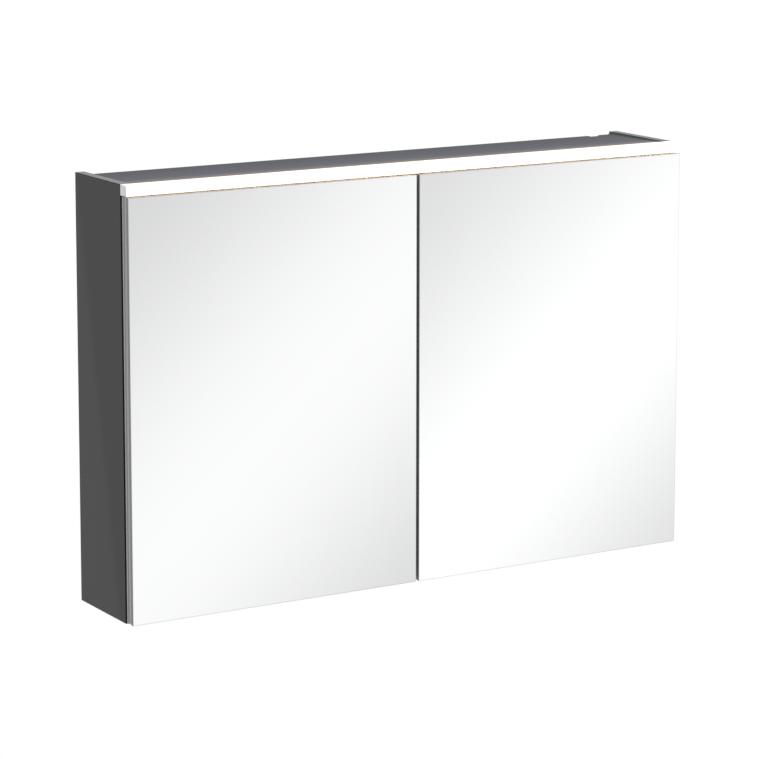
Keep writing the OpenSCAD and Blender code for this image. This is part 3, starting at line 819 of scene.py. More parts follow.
def show(
    name: str,
    mesh: bpy.types.Mesh,
    nodes: Sequence[str],
    finishes: Sequence[Finish],
    body: str | None = None,
) -> bpy.types.Object:
    """Puts a finished mesh in the scene in place of the CAD nodes that it stands for.

    Args:
        name: the piece's name.
        mesh: its mesh, in place.
        nodes: the CAD nodes that it replaces, which may be none where body is given.
        finishes: one finish for each material number of the mesh.
        body: the CAD body that it rides on, where that isn't the first node's.

    Returns:
        The piece.
    """
    if not mesh.materials:
        for finish in finishes:
            mesh.materials.append(finish.material())
    piece = bpy.data.objects.new(name, mesh)
    bpy.context.scene.collection.objects.link(piece)
    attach(piece, body or BODY_OF[nodes[0]])
    if nodes:
        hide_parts(*nodes)
    return piece


def dress_node(node: str, finish: Finish) -> None:
    """Gives a CAD node that stays as it is a finish.

    Args:
        node: the CAD node's name.
        finish: the finish of all its faces.
    """
    mesh = frame["nodes"][node].data
    if not mesh.materials:
        mesh.materials.append(None)
    for number in range(len(mesh.materials)):
        mesh.materials[number] = finish.material()
    LOG.info("%s: the packed shape, %s", node, finish.name)


# ------------------------------------------------------------------ repeated fittings


@dataclass(frozen=True)
class Spot:
    """Where one repeated fitting sits, and the way its head or free end points."""

    at: Point
    axis: Point = (0, 0, 1)


class ShapeGraph(NodeGraph):
    """A Geometry Nodes tree with named inputs, run once for each body's set of fittings."""

    SPIN_SEED = 7
    DOME_SPREAD = 1.2  # the ball that a dome is cut from, as a share of the dome's radius
    RECESS_ARM = 0.42  # the width of a cross recess's arms, as a share of their reach

    def __init__(self, name: str) -> None:
        """Makes the tree with its geometry input and output.

        Args:
            name: the tree's name.
        """
        super().__init__(bpy.data.node_groups.new(name, "GeometryNodeTree"))
        for way in ("INPUT", "OUTPUT"):
            self.tree.interface.new_socket(
                "Geometry", in_out=way, socket_type="NodeSocketGeometry"
            )
        self.entry = self.add("NodeGroupInput")
        self.exit = self.add("NodeGroupOutput")
        self.identifiers: dict[str, str] = {}

    def ask(self, name: str, kind: str = "Float") -> bpy.types.NodeSocket:
        """Adds a named input to the tree.

        Args:
            name: the input's name.
            kind: Float, Int, Vector or Material.

        Returns:
            The socket that carries it inside the tree.
        """
        item = self.tree.interface.new_socket(
            name, in_out="INPUT", socket_type=f"NodeSocket{kind}"
        )
        self.identifiers[name] = item.identifier
        return self.entry.outputs[name]

    def cylinder(
        self, sides: int, radius: object, depth: object, lift: object = 0.0
    ) -> bpy.types.NodeSocket:
        """A round bar along Z.

        Args:
            sides: its number of sides.
            radius: its radius.
            depth: its length.
            lift: the height of its middle.

        Returns:
            The bar's geometry.
        """
        bar = self.add(
            "GeometryNodeMeshCylinder", {"Vertices": sides, "Radius": radius, "Depth": depth}
        )
        return self.moved(bar.outputs[0], self.vector(0.0, 0.0, lift))

    def cone(
        self, sides: int, low: object, high: object, depth: object, lift: object = 0.0
    ) -> bpy.types.NodeSocket:
        """A cut cone along Z.

        Args:
            sides: its number of sides.
            low: its radius at the bottom.
            high: its radius at the top.
            depth: its height.
            lift: the height of its bottom.

        Returns:
            The cone's geometry.
        """
        cone = self.add(
            "GeometryNodeMeshCone",
            {"Vertices": sides, "Radius Bottom": low, "Radius Top": high, "Depth": depth},
        )
        return self.moved(cone.outputs[0], self.vector(0.0, 0.0, lift))

    def moved(
        self, shape: object, by: object, turn: Point = (0, 0, 0), scale: object = (1, 1, 1)
    ) -> bpy.types.NodeSocket:
        """Moves, turns and scales a shape.

        Args:
            shape: the geometry.
            by: how far it moves.
            turn: its turn in radians.
            scale: its scale.

        Returns:
            The changed geometry.
        """
        return self.add(
            "GeometryNodeTransform",
            {"Geometry": shape, "Translation": by, "Rotation": turn, "Scale": scale},
        ).outputs[0]

    def dome(self, sides: int, radius: object, height: object) -> bpy.types.NodeSocket:
        """A flat-bottomed dome along Z, with a short upright rim.

        Args:
            sides: its number of sides.
            radius: its radius.
            height: its height.

        Returns:
            The dome's geometry.
        """
        ball = self.add(
            "GeometryNodeMeshUVSphere", {"Segments": sides, "Rings": sides // 2, "Radius": 1.0}
        ).outputs[0]
        wide = self.times(radius, self.DOME_SPREAD)
        cap = self.moved(ball, (0, 0, 0), scale=self.vector(wide, wide, height))
        return self.common([cap, self.cylinder(sides, radius, height, self.times(height, 0.5))])

    def join(self, shapes: list[bpy.types.NodeSocket]) -> bpy.types.NodeSocket:
        """Several shapes as one geometry."""
        return self.add("GeometryNodeJoinGeometry", {0: shapes}).outputs[0]

    def cut(self, shape: object, tools: list[bpy.types.NodeSocket]) -> bpy.types.NodeSocket:
        """Cuts tools out of a shape.

        Args:
            shape: the geometry that is cut.
            tools: what is taken away.

        Returns:
            What is left.
        """
        return self.add(
            "GeometryNodeMeshBoolean", {0: shape, 1: tools}, operation="DIFFERENCE", solver="EXACT"
        ).outputs[0]

    def common(self, shapes: list[bpy.types.NodeSocket]) -> bpy.types.NodeSocket:
        """What several shapes have in common.

        Args:
            shapes: the geometries.

        Returns:
            The part that lies in all of them.
        """
        return self.add(
            "GeometryNodeMeshBoolean", {1: shapes}, operation="INTERSECT", solver="EXACT"
        ).outputs[0]

    def cross(self, reach: object, depth: object, top: object) -> list[bpy.types.NodeSocket]:
        """The two cutters of a cross recess.

        Args:
            reach: half the recess's width.
            depth: its depth.
            top: the height of the head's top.

        Returns:
            The two cutters.
        """
        long, narrow = self.times(reach, 2.0), self.times(reach, self.RECESS_ARM)
        deep = self.times(depth, 2.0)
        return [
            self.moved(
                self.add("GeometryNodeMeshCube", {"Size": self.vector(*size, deep)}).outputs[0],
                self.vector(0.0, 0.0, top),
            )
            for size in ((long, narrow), (narrow, long))
        ]

    def place(self, shape: object) -> bpy.types.NodeSocket:
        """Sets the shape on every spot, turned to the spot's axis and then by a fixed random angle.

        Args:
            shape: the geometry of one fitting, with its free end towards +Z.

        Returns:
            The instances.
        """
        axis = self.add(
            "GeometryNodeInputNamedAttribute", {"Name": "axis"}, data_type="FLOAT_VECTOR"
        ).outputs[0]
        facing = self.add("FunctionNodeAlignRotationToVector", {"Vector": axis}, axis="Z")
        angle = self.add(
            "FunctionNodeRandomValue", {2: 0.0, 3: math.pi, 8: self.SPIN_SEED}, data_type="FLOAT"
        ).outputs[1]
        spin = self.add("FunctionNodeAxisAngleToRotation", {"Axis": (0, 0, 1), "Angle": angle})
        turn = self.add(
            "FunctionNodeRotateRotation",
            {0: facing.outputs[0], 1: spin.outputs[0]},
            rotation_space="LOCAL",
        )
        return self.add(
            "GeometryNodeInstanceOnPoints",
            {"Points": self.entry.outputs[0], "Instance": shape, "Rotation": turn.outputs[0]},
        ).outputs[0]

    def end(self, shape: object, second: object | None = None) -> None:
        """Ends the tree: instances are made real and get their materials.

        Args:
            shape: the geometry in the main finish.
            second: the geometry in the second finish, where there is one.
        """
        parts = []
        for name, part in (("Finish", shape), ("Second Finish", second)):
            if part is not None:
                real = self.add("GeometryNodeRealizeInstances", {0: part}).outputs[0]
                parts.append(
                    self.add(
                        "GeometryNodeSetMaterial",
                        {"Geometry": real, "Material": self.ask(name, "Material")},
                    ).outputs[0]
                )
        whole = parts[0] if len(parts) == 1 else self.join(parts)
        self.tree.links.new(whole, self.exit.inputs[0])

    def run(
        self,
        name: str,
        spots: Iterable[Spot],
        values: dict[str, object],
        edges: Sequence[tuple[int, int]] = (),
    ) -> bpy.types.Mesh:
        """Runs the tree on a set of spots.

        Args:
            name: the mesh's name.
            spots: where the fittings sit, or the points of a route.
            values: the tree's inputs by name; a Finish stands for its material.
            edges: the pairs of spots that are joined, where the spots are a route.

        Returns:
            The plain mesh of all of them.
        """
        spots = list(spots)
        host_mesh = bpy.data.meshes.new(f"{name}_spots")
        host_mesh.from_pydata([s.at for s in spots], list(edges), [])
        axis = host_mesh.attributes.new("axis", "FLOAT_VECTOR", "POINT")
        axis.data.foreach_set("vector", [c for s in spots for c in s.axis])
        host = bpy.data.objects.new(f"{name}_host", host_mesh)
        bpy.context.scene.collection.objects.link(host)
        modifier = host.modifiers.new(self.tree.name, "NODES")
        modifier.node_group = self.tree
        for key, value in values.items():
            value = value.material() if isinstance(value, Finish) else value
            modifier[self.identifiers[key]] = value
        graph = bpy.context.evaluated_depsgraph_get()
        mesh = bpy.data.meshes.new_from_object(host.evaluated_get(graph), depsgraph=graph)
        mesh.name = name
        host.modifiers.remove(modifier)
        bpy.data.objects.remove(host)
        bpy.data.meshes.remove(host_mesh)
        round_off(mesh)
        return mesh


class Head(Enum):
    """The kinds of screw head in the cabinet."""

    DOMED = "domed"
    SUNK = "sunk"
    HEADLESS = "headless"


class ScrewTree(ShapeGraph):
    """Cross-recessed screws with a rolled thread, each with the seat of its head on its spot."""

    CORE = 0.8  # the thread's root, as a share of the shaft's radius
    THREAD_LIFT = 0.45  # where a thread ring sits in its pitch
    RECESS_REACH = 0.62  # half a recess's width, as a share of the head's radius
    RECESS_DEPTH = 0.6  # a recess's depth, as a share of the head's height
    STUB_RECESS = 0.4  # the same in a screw without a head
    SUNK_TIP = 0.5  # the small end of a sunk head, as a share of its radius
    SUNK_REACH = 0.9  # a sunk head's recess against a domed head's
    HEAD_SIDES = 28
    STUB_SIDES = 24
    SHAFT_SIDES = 16

    def __init__(self, head: Head) -> None:
        """Builds the tree.

        Args:
            head: the kind of head.
        """
        super().__init__(f"{head.value} screws")
        radius, height = self.ask("Head Radius"), self.ask("Head Height")
        shaft, length = self.ask("Shaft Radius"), self.ask("Length")
        turns = self.ask("Thread Turns", "Int")
        core = self.times(shaft, self.CORE)
        body = self.cylinder(self.SHAFT_SIDES, core, length, self.times(length, -0.5))
        pitch = self.sum("DIVIDE", length, turns)
        lift = self.times(pitch, self.THREAD_LIFT)
        ring = self.cone(self.SHAFT_SIDES, core, shaft, lift)
        rings = self.add(
            "GeometryNodeMeshLine",
            {
                "Count": turns,
                "Start Location": self.vector(0.0, 0.0, self.times(length, -1.0)),
                "Offset": self.vector(0.0, 0.0, pitch),
            },
            mode="OFFSET",
        )
        thread = self.add(
            "GeometryNodeInstanceOnPoints", {"Points": rings.outputs[0], "Instance": ring}
        ).outputs[0]
        one = self.join([self.topped(head, radius, height), body, thread])
        real = self.add("GeometryNodeRealizeInstances", {0: one}).outputs[0]
        self.end(self.place(real))

    def topped(self, head: Head, radius: object, height: object) -> bpy.types.NodeSocket:
        """The head with its cross recess.

        Args:
            head: the kind of head.
            radius: its largest radius.
            height: its height above the seat, or its depth below it.

        Returns:
            The head's geometry.
        """
        reach = self.times(radius, self.RECESS_REACH)
        deep = self.times(height, self.RECESS_DEPTH)
        if head is Head.DOMED:
            dome = self.dome(self.HEAD_SIDES, radius, height)
            return self.cut(dome, self.cross(reach, deep, height))
        if head is Head.SUNK:
            narrow, under = self.times(radius, self.SUNK_TIP), self.times(height, -1.0)
            plug = self.cone(self.HEAD_SIDES, narrow, radius, height, under)
            return self.cut(plug, self.cross(self.times(reach, self.SUNK_REACH), deep, 0.0))
        stub = self.cylinder(self.STUB_SIDES, radius, height, self.times(height, -0.5))
        return self.cut(stub, self.cross(reach, self.times(height, self.STUB_RECESS), 0.0))


class ChipTree(ShapeGraph):
    """A row of light-emitting chips: a white case with a round phosphor pool on its front."""

    CASE_DEPTH = 0.82  # as a share of the chip's depth
    POOL_DEPTH = 0.2  # as a share of the chip's depth
    POOL_RADIUS = 0.4  # as a share of the chip's width
    POOL_TAPER = 0.86
    POOL_SIDES = 14

    def __init__(self) -> None:
        """Builds the tree."""
        super().__init__("row of light chips")
        width, depth = self.ask("Width"), self.ask("Depth")
        back = self.times(depth, self.CASE_DEPTH)
        block = self.add("GeometryNodeMeshCube", {"Size": self.vector(width, width, back)})
        case = self.moved(block.outputs[0], self.vector(0.0, 0.0, self.times(back, 0.5)))
        rim, proud = self.times(width, self.POOL_RADIUS), self.times(depth, self.POOL_DEPTH)
        pool = self.cone(self.POOL_SIDES, rim, self.times(rim, self.POOL_TAPER), proud, back)
        self.end(self.place_straight(case), self.place_straight(pool))

    def place_straight(self, shape: object) -> bpy.types.NodeSocket:
        """Sets the shape on every spot with no random turn.

        Args:
            shape: one chip's case or pool.

        Returns:
            The instances.
        """
        return self.add(
            "GeometryNodeInstanceOnPoints",
            {
                "Points": self.entry.outputs[0],
                "Instance": self.moved(shape, (0, 0, 0), turn=(math.pi / 2, 0, 0)),
            },
        ).outputs[0]


class ShelfPinTree(ShapeGraph):
    """Shelf pins with a chamfered tip, a collar at the panel and a clear sleeve under the glass."""

    SIDES = 28
    CHAMFER = 0.25  # this and the next three are shares of the pin's radius
    TIP = 0.8
    SHANK = 0.94
    COLLAR = 1.25
    COLLAR_HEIGHT = 0.4 * MM
    SLEEVE_LENGTH = 0.62  # this and the next are shares of the length out of the panel
    SLEEVE_MIDDLE = 0.48

    def __init__(self) -> None:
        """Builds the tree, with each spot on the panel's face and its axis out of the panel."""
        super().__init__("shelf pins")
        radius, inner, outer = self.ask("Radius"), self.ask("Depth In"), self.ask("Length Out")
        chamfer = self.times(radius, self.CHAMFER)
        shoulder = self.sum("SUBTRACT", outer, chamfer)
        straight = self.sum("SUBTRACT", self.sum("ADD", inner, outer), chamfer)
        lift = self.sum("SUBTRACT", self.times(straight, 0.5), inner)
        shank = self.cylinder(self.SIDES, self.times(radius, self.SHANK), straight, lift)
        tip = self.cone(self.SIDES, radius, self.times(radius, self.TIP), chamfer, shoulder)
        wide = self.times(radius, self.COLLAR)
        collar = self.cone(self.SIDES, wide, radius, self.COLLAR_HEIGHT)
        long, middle = self.times(outer, self.SLEEVE_LENGTH), self.times(outer, self.SLEEVE_MIDDLE)
        sleeve = self.cylinder(self.SIDES, radius, long, middle)
        self.end(self.place(self.join([shank, tip, collar])), self.place(sleeve))


class DowelTree(ShapeGraph):
    """Fluted dowels, centred on each spot."""

    FLUTES = 18
    FLUTE_ROOT = 0.93  # as a share of the dowel's radius

    def __init__(self) -> None:
        """Builds the tree."""
        super().__init__("fluted dowels")
        radius, length = self.ask("Radius"), self.ask("Length")
        star = self.add(
            "GeometryNodeCurveStar",
            {
                "Points": self.FLUTES,
                "Inner Radius": self.times(radius, self.FLUTE_ROOT),
                "Outer Radius": radius,
            },
        ).outputs[0]
        line = self.add(
            "GeometryNodeCurvePrimitiveLine",
            {
                "Start": self.vector(0.0, 0.0, self.times(length, -0.5)),
                "End": self.vector(0.0, 0.0, self.times(length, 0.5)),
            },
        ).outputs[0]
        bar = self.add(
            "GeometryNodeCurveToMesh", {"Curve": line, "Profile Curve": star, "Fill Caps": True}
        ).outputs[0]
        self.end(self.place(bar))


class BumperTree(ShapeGraph):
    """Domed door bumpers, with their flat side on each spot."""

    DOME_SPREAD = 1.25  # the ball that a bumper is cut from, as a share of its radius
    SIDES = 24

    def __init__(self) -> None:
        """Builds the tree."""
        super().__init__("door bumpers")
        radius, height = self.ask("Radius"), self.ask("Height")
        self.end(self.place(self.dome(self.SIDES, radius, height)))


class LeadTree(ShapeGraph):
    """A round lead along a route, with an even bend at every corner."""

    SIDES = 14
    BEND_STEPS = 8

    def __init__(self) -> None:
        """Builds the tree."""
        super().__init__("bent lead")
        radius, bend = self.ask("Radius"), self.ask("Bend Radius")
        route = self.add("GeometryNodeMeshToCurve", {0: self.entry.outputs[0]}).outputs[0]
        bent = self.add(
            "GeometryNodeFilletCurve",
            {"Curve": route, "Count": self.BEND_STEPS, "Radius": bend, "Limit Radius": True},
            mode="POLY",
        ).outputs[0]
        ring = self.add(
            "GeometryNodeCurvePrimitiveCircle", {"Resolution": self.SIDES, "Radius": radius}
        ).outputs[0]
        tube = self.add(
            "GeometryNodeCurveToMesh", {"Curve": bent, "Profile Curve": ring, "Fill Caps": True}
        ).outputs[0]
        self.end(tube)


@dataclass
class Fixings:
    """The screws of the whole cabinet, made from one tree for each kind of head."""

    thread_pitch: float = 1.1 * MM
    shaft_share: float = 0.5
    trees: dict[Head, ScrewTree] = field(default_factory=dict)

    def fit(self, node: str, head: Head, axis: Point, finish: Finish, head_height: float) -> None:
        """Replaces a node of screws.

        Args:
            node: the CAD node, with one solid for each screw.
            head: the kind of head.
            axis: the way the heads point, along one of the frame's axes; the X of a node whose
                screws face each other across the cabinet turns over on the right side.
            finish: the screws' finish.
            head_height: the head's height.
        """
        if head not in self.trees:
            self.trees[head] = ScrewTree(head)
        along = max(range(3), key=lambda i: abs(axis[i]))
        beside = (along + 1) % 3
        proud = head_height if head is Head.DOMED else 0.0
        spots, radius, length = [], 0.0, 0.0
        for low, high in loose_solids(node):
            middle = (low + high) / 2
            facing = Vector(axis)
            if along == 0 and middle.x > 0:
                facing = -facing
            outer = high[along] if facing[along] > 0 else low[along]
            middle[along] = outer - facing[along] * proud
            spots.append(Spot(tuple(middle), tuple(facing)))
            radius = (high[beside] - low[beside]) / 2
            length = high[along] - low[along] - proud
        shaft = radius * (1.0 if head is Head.HEADLESS else self.shaft_share)
        values = {
            "Head Radius": radius,
            "Head Height": head_height,
            "Shaft Radius": shaft,
            "Length": length,
            "Thread Turns": max(2, round(length / self.thread_pitch)),
            "Finish": finish,
        }
        mesh = self.trees[head].run(f"{node}_mesh", spots, values)
        show(f"{node}_set", mesh, [node], [finish])


# ------------------------------------------------------------------ sub-assemblies


class PanelFace(IntEnum):
    """The finishes of a side panel, in the order of its materials."""

    OUTER = 0
    BAND = 1
    INNER = 2
    GLUE = 3
    FRONT = 4


@dataclass
class Carcass:
    """The cabinet's box: side panels, top, bottom, partition and back, and their fittings."""

    edge: float = 0.6 * MM
    lamp_cover: float = 16 * MM  # how much of the top the lamp hides from in front
    dowel_radius: float = 4 * MM
    bumper_radius: float = 2.5 * MM

    def build(self) -> None:
        """Builds and dresses every piece."""
        for side in Side:
            self.side_panel(side)
        self.boards()
        self.joints()
        self.bumpers()

    def side_panel(self, side: Side) -> None:
        """A side panel: gloss outside, melamine inside, edges above and below painted lighter as a
        painted highlight, the front edge painted dark as painted shadow, dark glue lines.

        Args:
            side: which of the two panels.
        """

        def pick(face: bmesh.types.BMFace) -> int:
            """Gloss outside, a painted highlight on the edges above and below, painted shadow on
            the front edge, melamine inside.

            Args:
                face: a face of the panel.

            Returns:
                The number of its finish.
            """
            if face.normal.x * side.value > SQUARE:
                return PanelFace.OUTER
            broad = face.calc_area() > BROAD
            if abs(face.normal.z) > SQUARE and broad:
                return PanelFace.BAND
            return PanelFace.FRONT if face.normal.y < -SQUARE and broad else PanelFace.INNER

        node = side.node("side_panel")
        mesh = softened(node, self.edge, shortest=PANEL_EDGE, pick=pick, seam=PanelFace.GLUE)
        finishes = [GRAPHITE, GRAPHITE_PAINTED_HIGHLIGHT_BAND, INSIDE, GLUE_LINE, SHADOW_BAND]
        show(f"{side.name.lower()}_side", mesh, [node], finishes)

    def boards(self) -> None:
        """The top, bottom, partition and back."""

        def top_pick(face: bmesh.types.BMFace) -> int:
            """Lacquer for the upper face, melamine for the rest."""
            return 0 if face.normal.z > SQUARE else 1

        def front_pick(face: bmesh.types.BMFace) -> int:
            """The lighter band, a painted highlight, for the front edge; melamine for the rest."""
            return 1 if face.normal.y < -SQUARE and face.calc_area() > BROAD else 0

        low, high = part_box("top_panel")
        # The top's lacquer has painted lamplight along its front edge and painted shade towards the
        # rear.
        lacquer = LampLitLacquer(
            "top face lacquer",
            "top_lacquer",
            (0.102, 0.105, 0.116),
            coat=0.8,
            polish=0.16,
            front_y=low.y + self.lamp_cover,
            rear_y=high.y,
        )
        mesh = softened("top_panel", 0.4 * MM, shortest=6 * MM, pick=top_pick)
        show("top_board", mesh, ["top_panel"], [lacquer, INSIDE])
        for node in ("bottom_panel", "middle_partition"):
            mesh = softened(node, 0.5 * MM, shortest=PANEL_EDGE, pick=front_pick)
            show(f"{node}_board", mesh, [node], [INSIDE, GRAPHITE_PAINTED_HIGHLIGHT_BAND])
        dress_node("back_panel", INSIDE)

    def joints(self) -> None:
        """The dowels and cam fittings inside the panel joints."""
        tree = DowelTree()
        dowels = []
        for low, high in loose_solids("panel_dowels"):
            size, middle = high - low, (low + high) / 2
            along = max(range(3), key=lambda i: size[i])
            axis = tuple(1.0 if i == along else 0.0 for i in range(3))
            dowels.append((round(size[along], 4), Spot(tuple(middle), axis)))
        whole = bmesh.new()
        for length in sorted({length for length, _ in dowels}):
            values = {"Radius": self.dowel_radius, "Length": length, "Finish": BEECH}
            spots = [spot for given, spot in dowels if given == length]
            whole.from_mesh(tree.run("dowels", spots, values))
        mesh = to_mesh(whole, "fluted_dowels_mesh", smooth=True)
        show("fluted_dowels", mesh, ["panel_dowels"], [BEECH])
        for name, edge in (("cam_lock", 0.4 * MM), ("cam_bolt", 0.3 * MM)):
            mesh = softened(f"{name}s", edge, 1, 0.0, smooth=True)
            show(f"{name}_set", mesh, [f"{name}s"], [ZINC])

    def bumpers(self) -> None:
        """The clear bumpers on the partition's front edge."""
        boxes = loose_solids("door_bumpers")
        spots = [
            Spot(((low.x + high.x) / 2, high.y, (low.z + high.z) / 2), (0, -1, 0))
            for low, high in boxes
        ]
        height = boxes[-1][1].y - boxes[-1][0].y
        values = {"Radius": self.bumper_radius, "Height": height, "Finish": CLEAR}
        mesh = BumperTree().run("bumpers", spots, values)
        show("bumper_set", mesh, ["door_bumpers"], [CLEAR])


@dataclass
class GlassShelves:
    """The four glass shelves, and the pins that carry them."""

    arris: float = 0.6 * MM
    pin_radius: float = 2.5 * MM
    pin_out: float = 8 * MM
    partition_zone: float = 250 * MM  # pins nearer the middle than this are in the partition

    def build(self) -> None:
        """Builds and dresses every piece."""
        for side in Side:
            for level in ("lower", "upper"):
                self.shelf(side.node(f"{level}_shelf"))
        self.pins()

    def shelf(self, node: str) -> None:
        """One shelf with ground edges.

        Args:
            node: the shelf's CAD node.
        """

        def pick(face: bmesh.types.BMFace) -> int:
            """Clear glass for the two large faces, the ground rim for the rest."""
            return 0 if abs(face.normal.z) > SQUARE else 1

        mesh = softened(node, self.arris, pick=pick, seam=1)
        show(f"{node}_glass", mesh, [node], [SHELF_FACE, SHELF_RIM])

    def pins(self) -> None:
        """The pins, in the side panels and on both faces of the partition."""
        spots, inner = [], 0.0
        for low, high in loose_solids("shelf_pins"):
            middle = (low + high) / 2
            to_left = (middle.x < 0) == (abs(middle.x) < self.partition_zone)
            face = low.x + self.pin_out if to_left else high.x - self.pin_out
            spots.append(Spot((face, middle.y, middle.z), (-1 if to_left else 1, 0, 0)))
            inner = high.x - low.x - self.pin_out
        values = {
            "Radius": self.pin_radius,
            "Depth In": inner,
            "Length Out": self.pin_out,
            "Finish": ZINC,
            "Second Finish": CLEAR,
        }
        mesh = ShelfPinTree().run("pins", spots, values)
        show("shelf_pin_set", mesh, ["shelf_pins"], [ZINC])


class OpalFace(IntEnum):
    """The finishes of the lamp's opal angle, in the order of its materials."""

    LIT = 0
    CUT_END = 1
    UNDERSIDE = 2


@dataclass
class LightBar:
    """The lit bar over the doors, its strip of chips, and the lead to its driver."""

    cap_line: float = 1.6 * MM
    cap_edge: float = 0.3 * MM
    cap_corner: float = 1.0  # in radians; only corners sharper than this are broken
    chip_width: float = 3.5 * MM
    lead_radius: float = 1.2 * MM
    lead_bend: float = 5 * MM
    lead_from_driver: float = 14 * MM
    lead_level: float = 54 * MM
    lead_rise: float = 9 * MM
    lead_at_strip: float = 1.6 * MM

    def build(self) -> None:
        """Builds and dresses every piece."""
        self.shell()
        self.strip()
        self.lead()

    def shell(self) -> None:
        """The opal angle, the aluminium housing and the two end caps."""
        low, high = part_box("light_diffuser")
        middle_z = (low.z + high.z) / 2
        opal = LitOpal("lit opal acrylic", "opal_diffuser", high.y, low.z)

        def pick(face: bmesh.types.BMFace) -> int:
            """Lit opal, the unlit cut ends, and the bright underside of the front leg.

            Args:
                face: a face of the opal angle.

            Returns:
                The number of its finish.
            """
            if abs(face.normal.x) > SQUARE:
                return OpalFace.CUT_END
            lowest = face.calc_center_median().z < middle_z
            return OpalFace.UNDERSIDE if face.normal.z < -SQUARE and lowest else OpalFace.LIT

        mesh = softened("light_diffuser", 0.4 * MM, pick=pick)
        show("opal_cover", mesh, ["light_diffuser"], [opal, CAP, LIT_EDGE])
        mesh = softened("light_housing", 0.25 * MM, 1, shortest=10 * MM)
        show("lamp_housing", mesh, ["light_housing"], [ALUMINIUM])
        for side in Side:
            self.cap(side)

    def cap(self, side: Side) -> None:
        """One end cap, whose outer face has a joint line near its rear edge.

        Args:
            side: which end of the bar it closes.
        """
        node = side.node("light_cap")
        low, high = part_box(node)
        line_y = high.y - self.cap_line
        outer_x = high.x if side is Side.RIGHT else low.x
        solid = merged(node)
        bmesh.ops.bisect_plane(
            solid,
            geom=list(solid.verts) + list(solid.edges) + list(solid.faces),
            plane_co=(0, line_y, 0),
            plane_no=(0, 1, 0),
        )
        for face in solid.faces:
            face.material_index = 1 if face.calc_center_median().y > line_y else 0
        edges = [
            e
            for e in solid.edges
            if e.calc_face_angle(0.0) > self.cap_corner
            and all(abs(v.co.x - outer_x) < WELD_GAP / 2 for v in e.verts)
        ]
        bmesh.ops.bevel(
            solid, geom=edges, offset=self.cap_edge, segments=2, profile=0.5, affect="EDGES"
        )
        mesh = to_mesh(solid, f"{node}_mesh", smooth=False)
        show(f"{node}_cover", mesh, [node], [CAP, CAP_LINE])

    def strip(self) -> None:
        """The row of chips on their board."""
        dress_node("led_board", BOARD_MASK)
        boxes = loose_solids("led_chips")
        spots = [
            Spot(((low.x + high.x) / 2, high.y, (low.z + high.z) / 2)) for low, high in boxes
        ]
        values = {
            "Width": self.chip_width,
            "Depth": boxes[0][1].y - boxes[0][0].y,
            "Finish": BOARD_MASK,
            "Second Finish": PHOSPHOR,
        }
        show("chip_row", ChipTree().run("chips", spots, values), ["led_chips"], [PHOSPHOR])

    def lead(self) -> None:
        """The lead from the driver to the strip, and its two saddles."""
        r = self.lead_radius
        low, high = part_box("lamp_lead")
        driver_low, driver_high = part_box("led_driver")
        start_x, start_y = high.x - r, driver_low.y + self.lead_from_driver
        x, strip_y = low.x + r, low.y
        level_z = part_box("power_box")[0].z + self.lead_level
        under_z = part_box("top_panel")[0].z - r
        rise_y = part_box("light_diffuser")[1].y + self.lead_rise
        strip_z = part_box("led_board")[0].z + self.lead_at_strip
        route = [
            (start_x, start_y, driver_high.z),
            (start_x, start_y, level_z),
            (x, start_y, level_z),
            (x, start_y, under_z),
            (x, rise_y, under_z),
            (x, rise_y, strip_z),
            (x, strip_y, strip_z),
        ]
        values = {"Radius": r, "Bend Radius": self.lead_bend, "Finish": LEAD_SHEATH}
        edges = [(i, i + 1) for i in range(len(route) - 1)]
        mesh = LeadTree().run("lead", [Spot(p) for p in route], values, edges)
        show("lamp_lead_run", mesh, ["lamp_lead"], [LEAD_SHEATH])
        mesh = softened("lead_clips", 0.5 * MM, 2, 2 * MM, smooth=True)
        show("lead_saddles", mesh, ["lead_clips"], [BLACK])


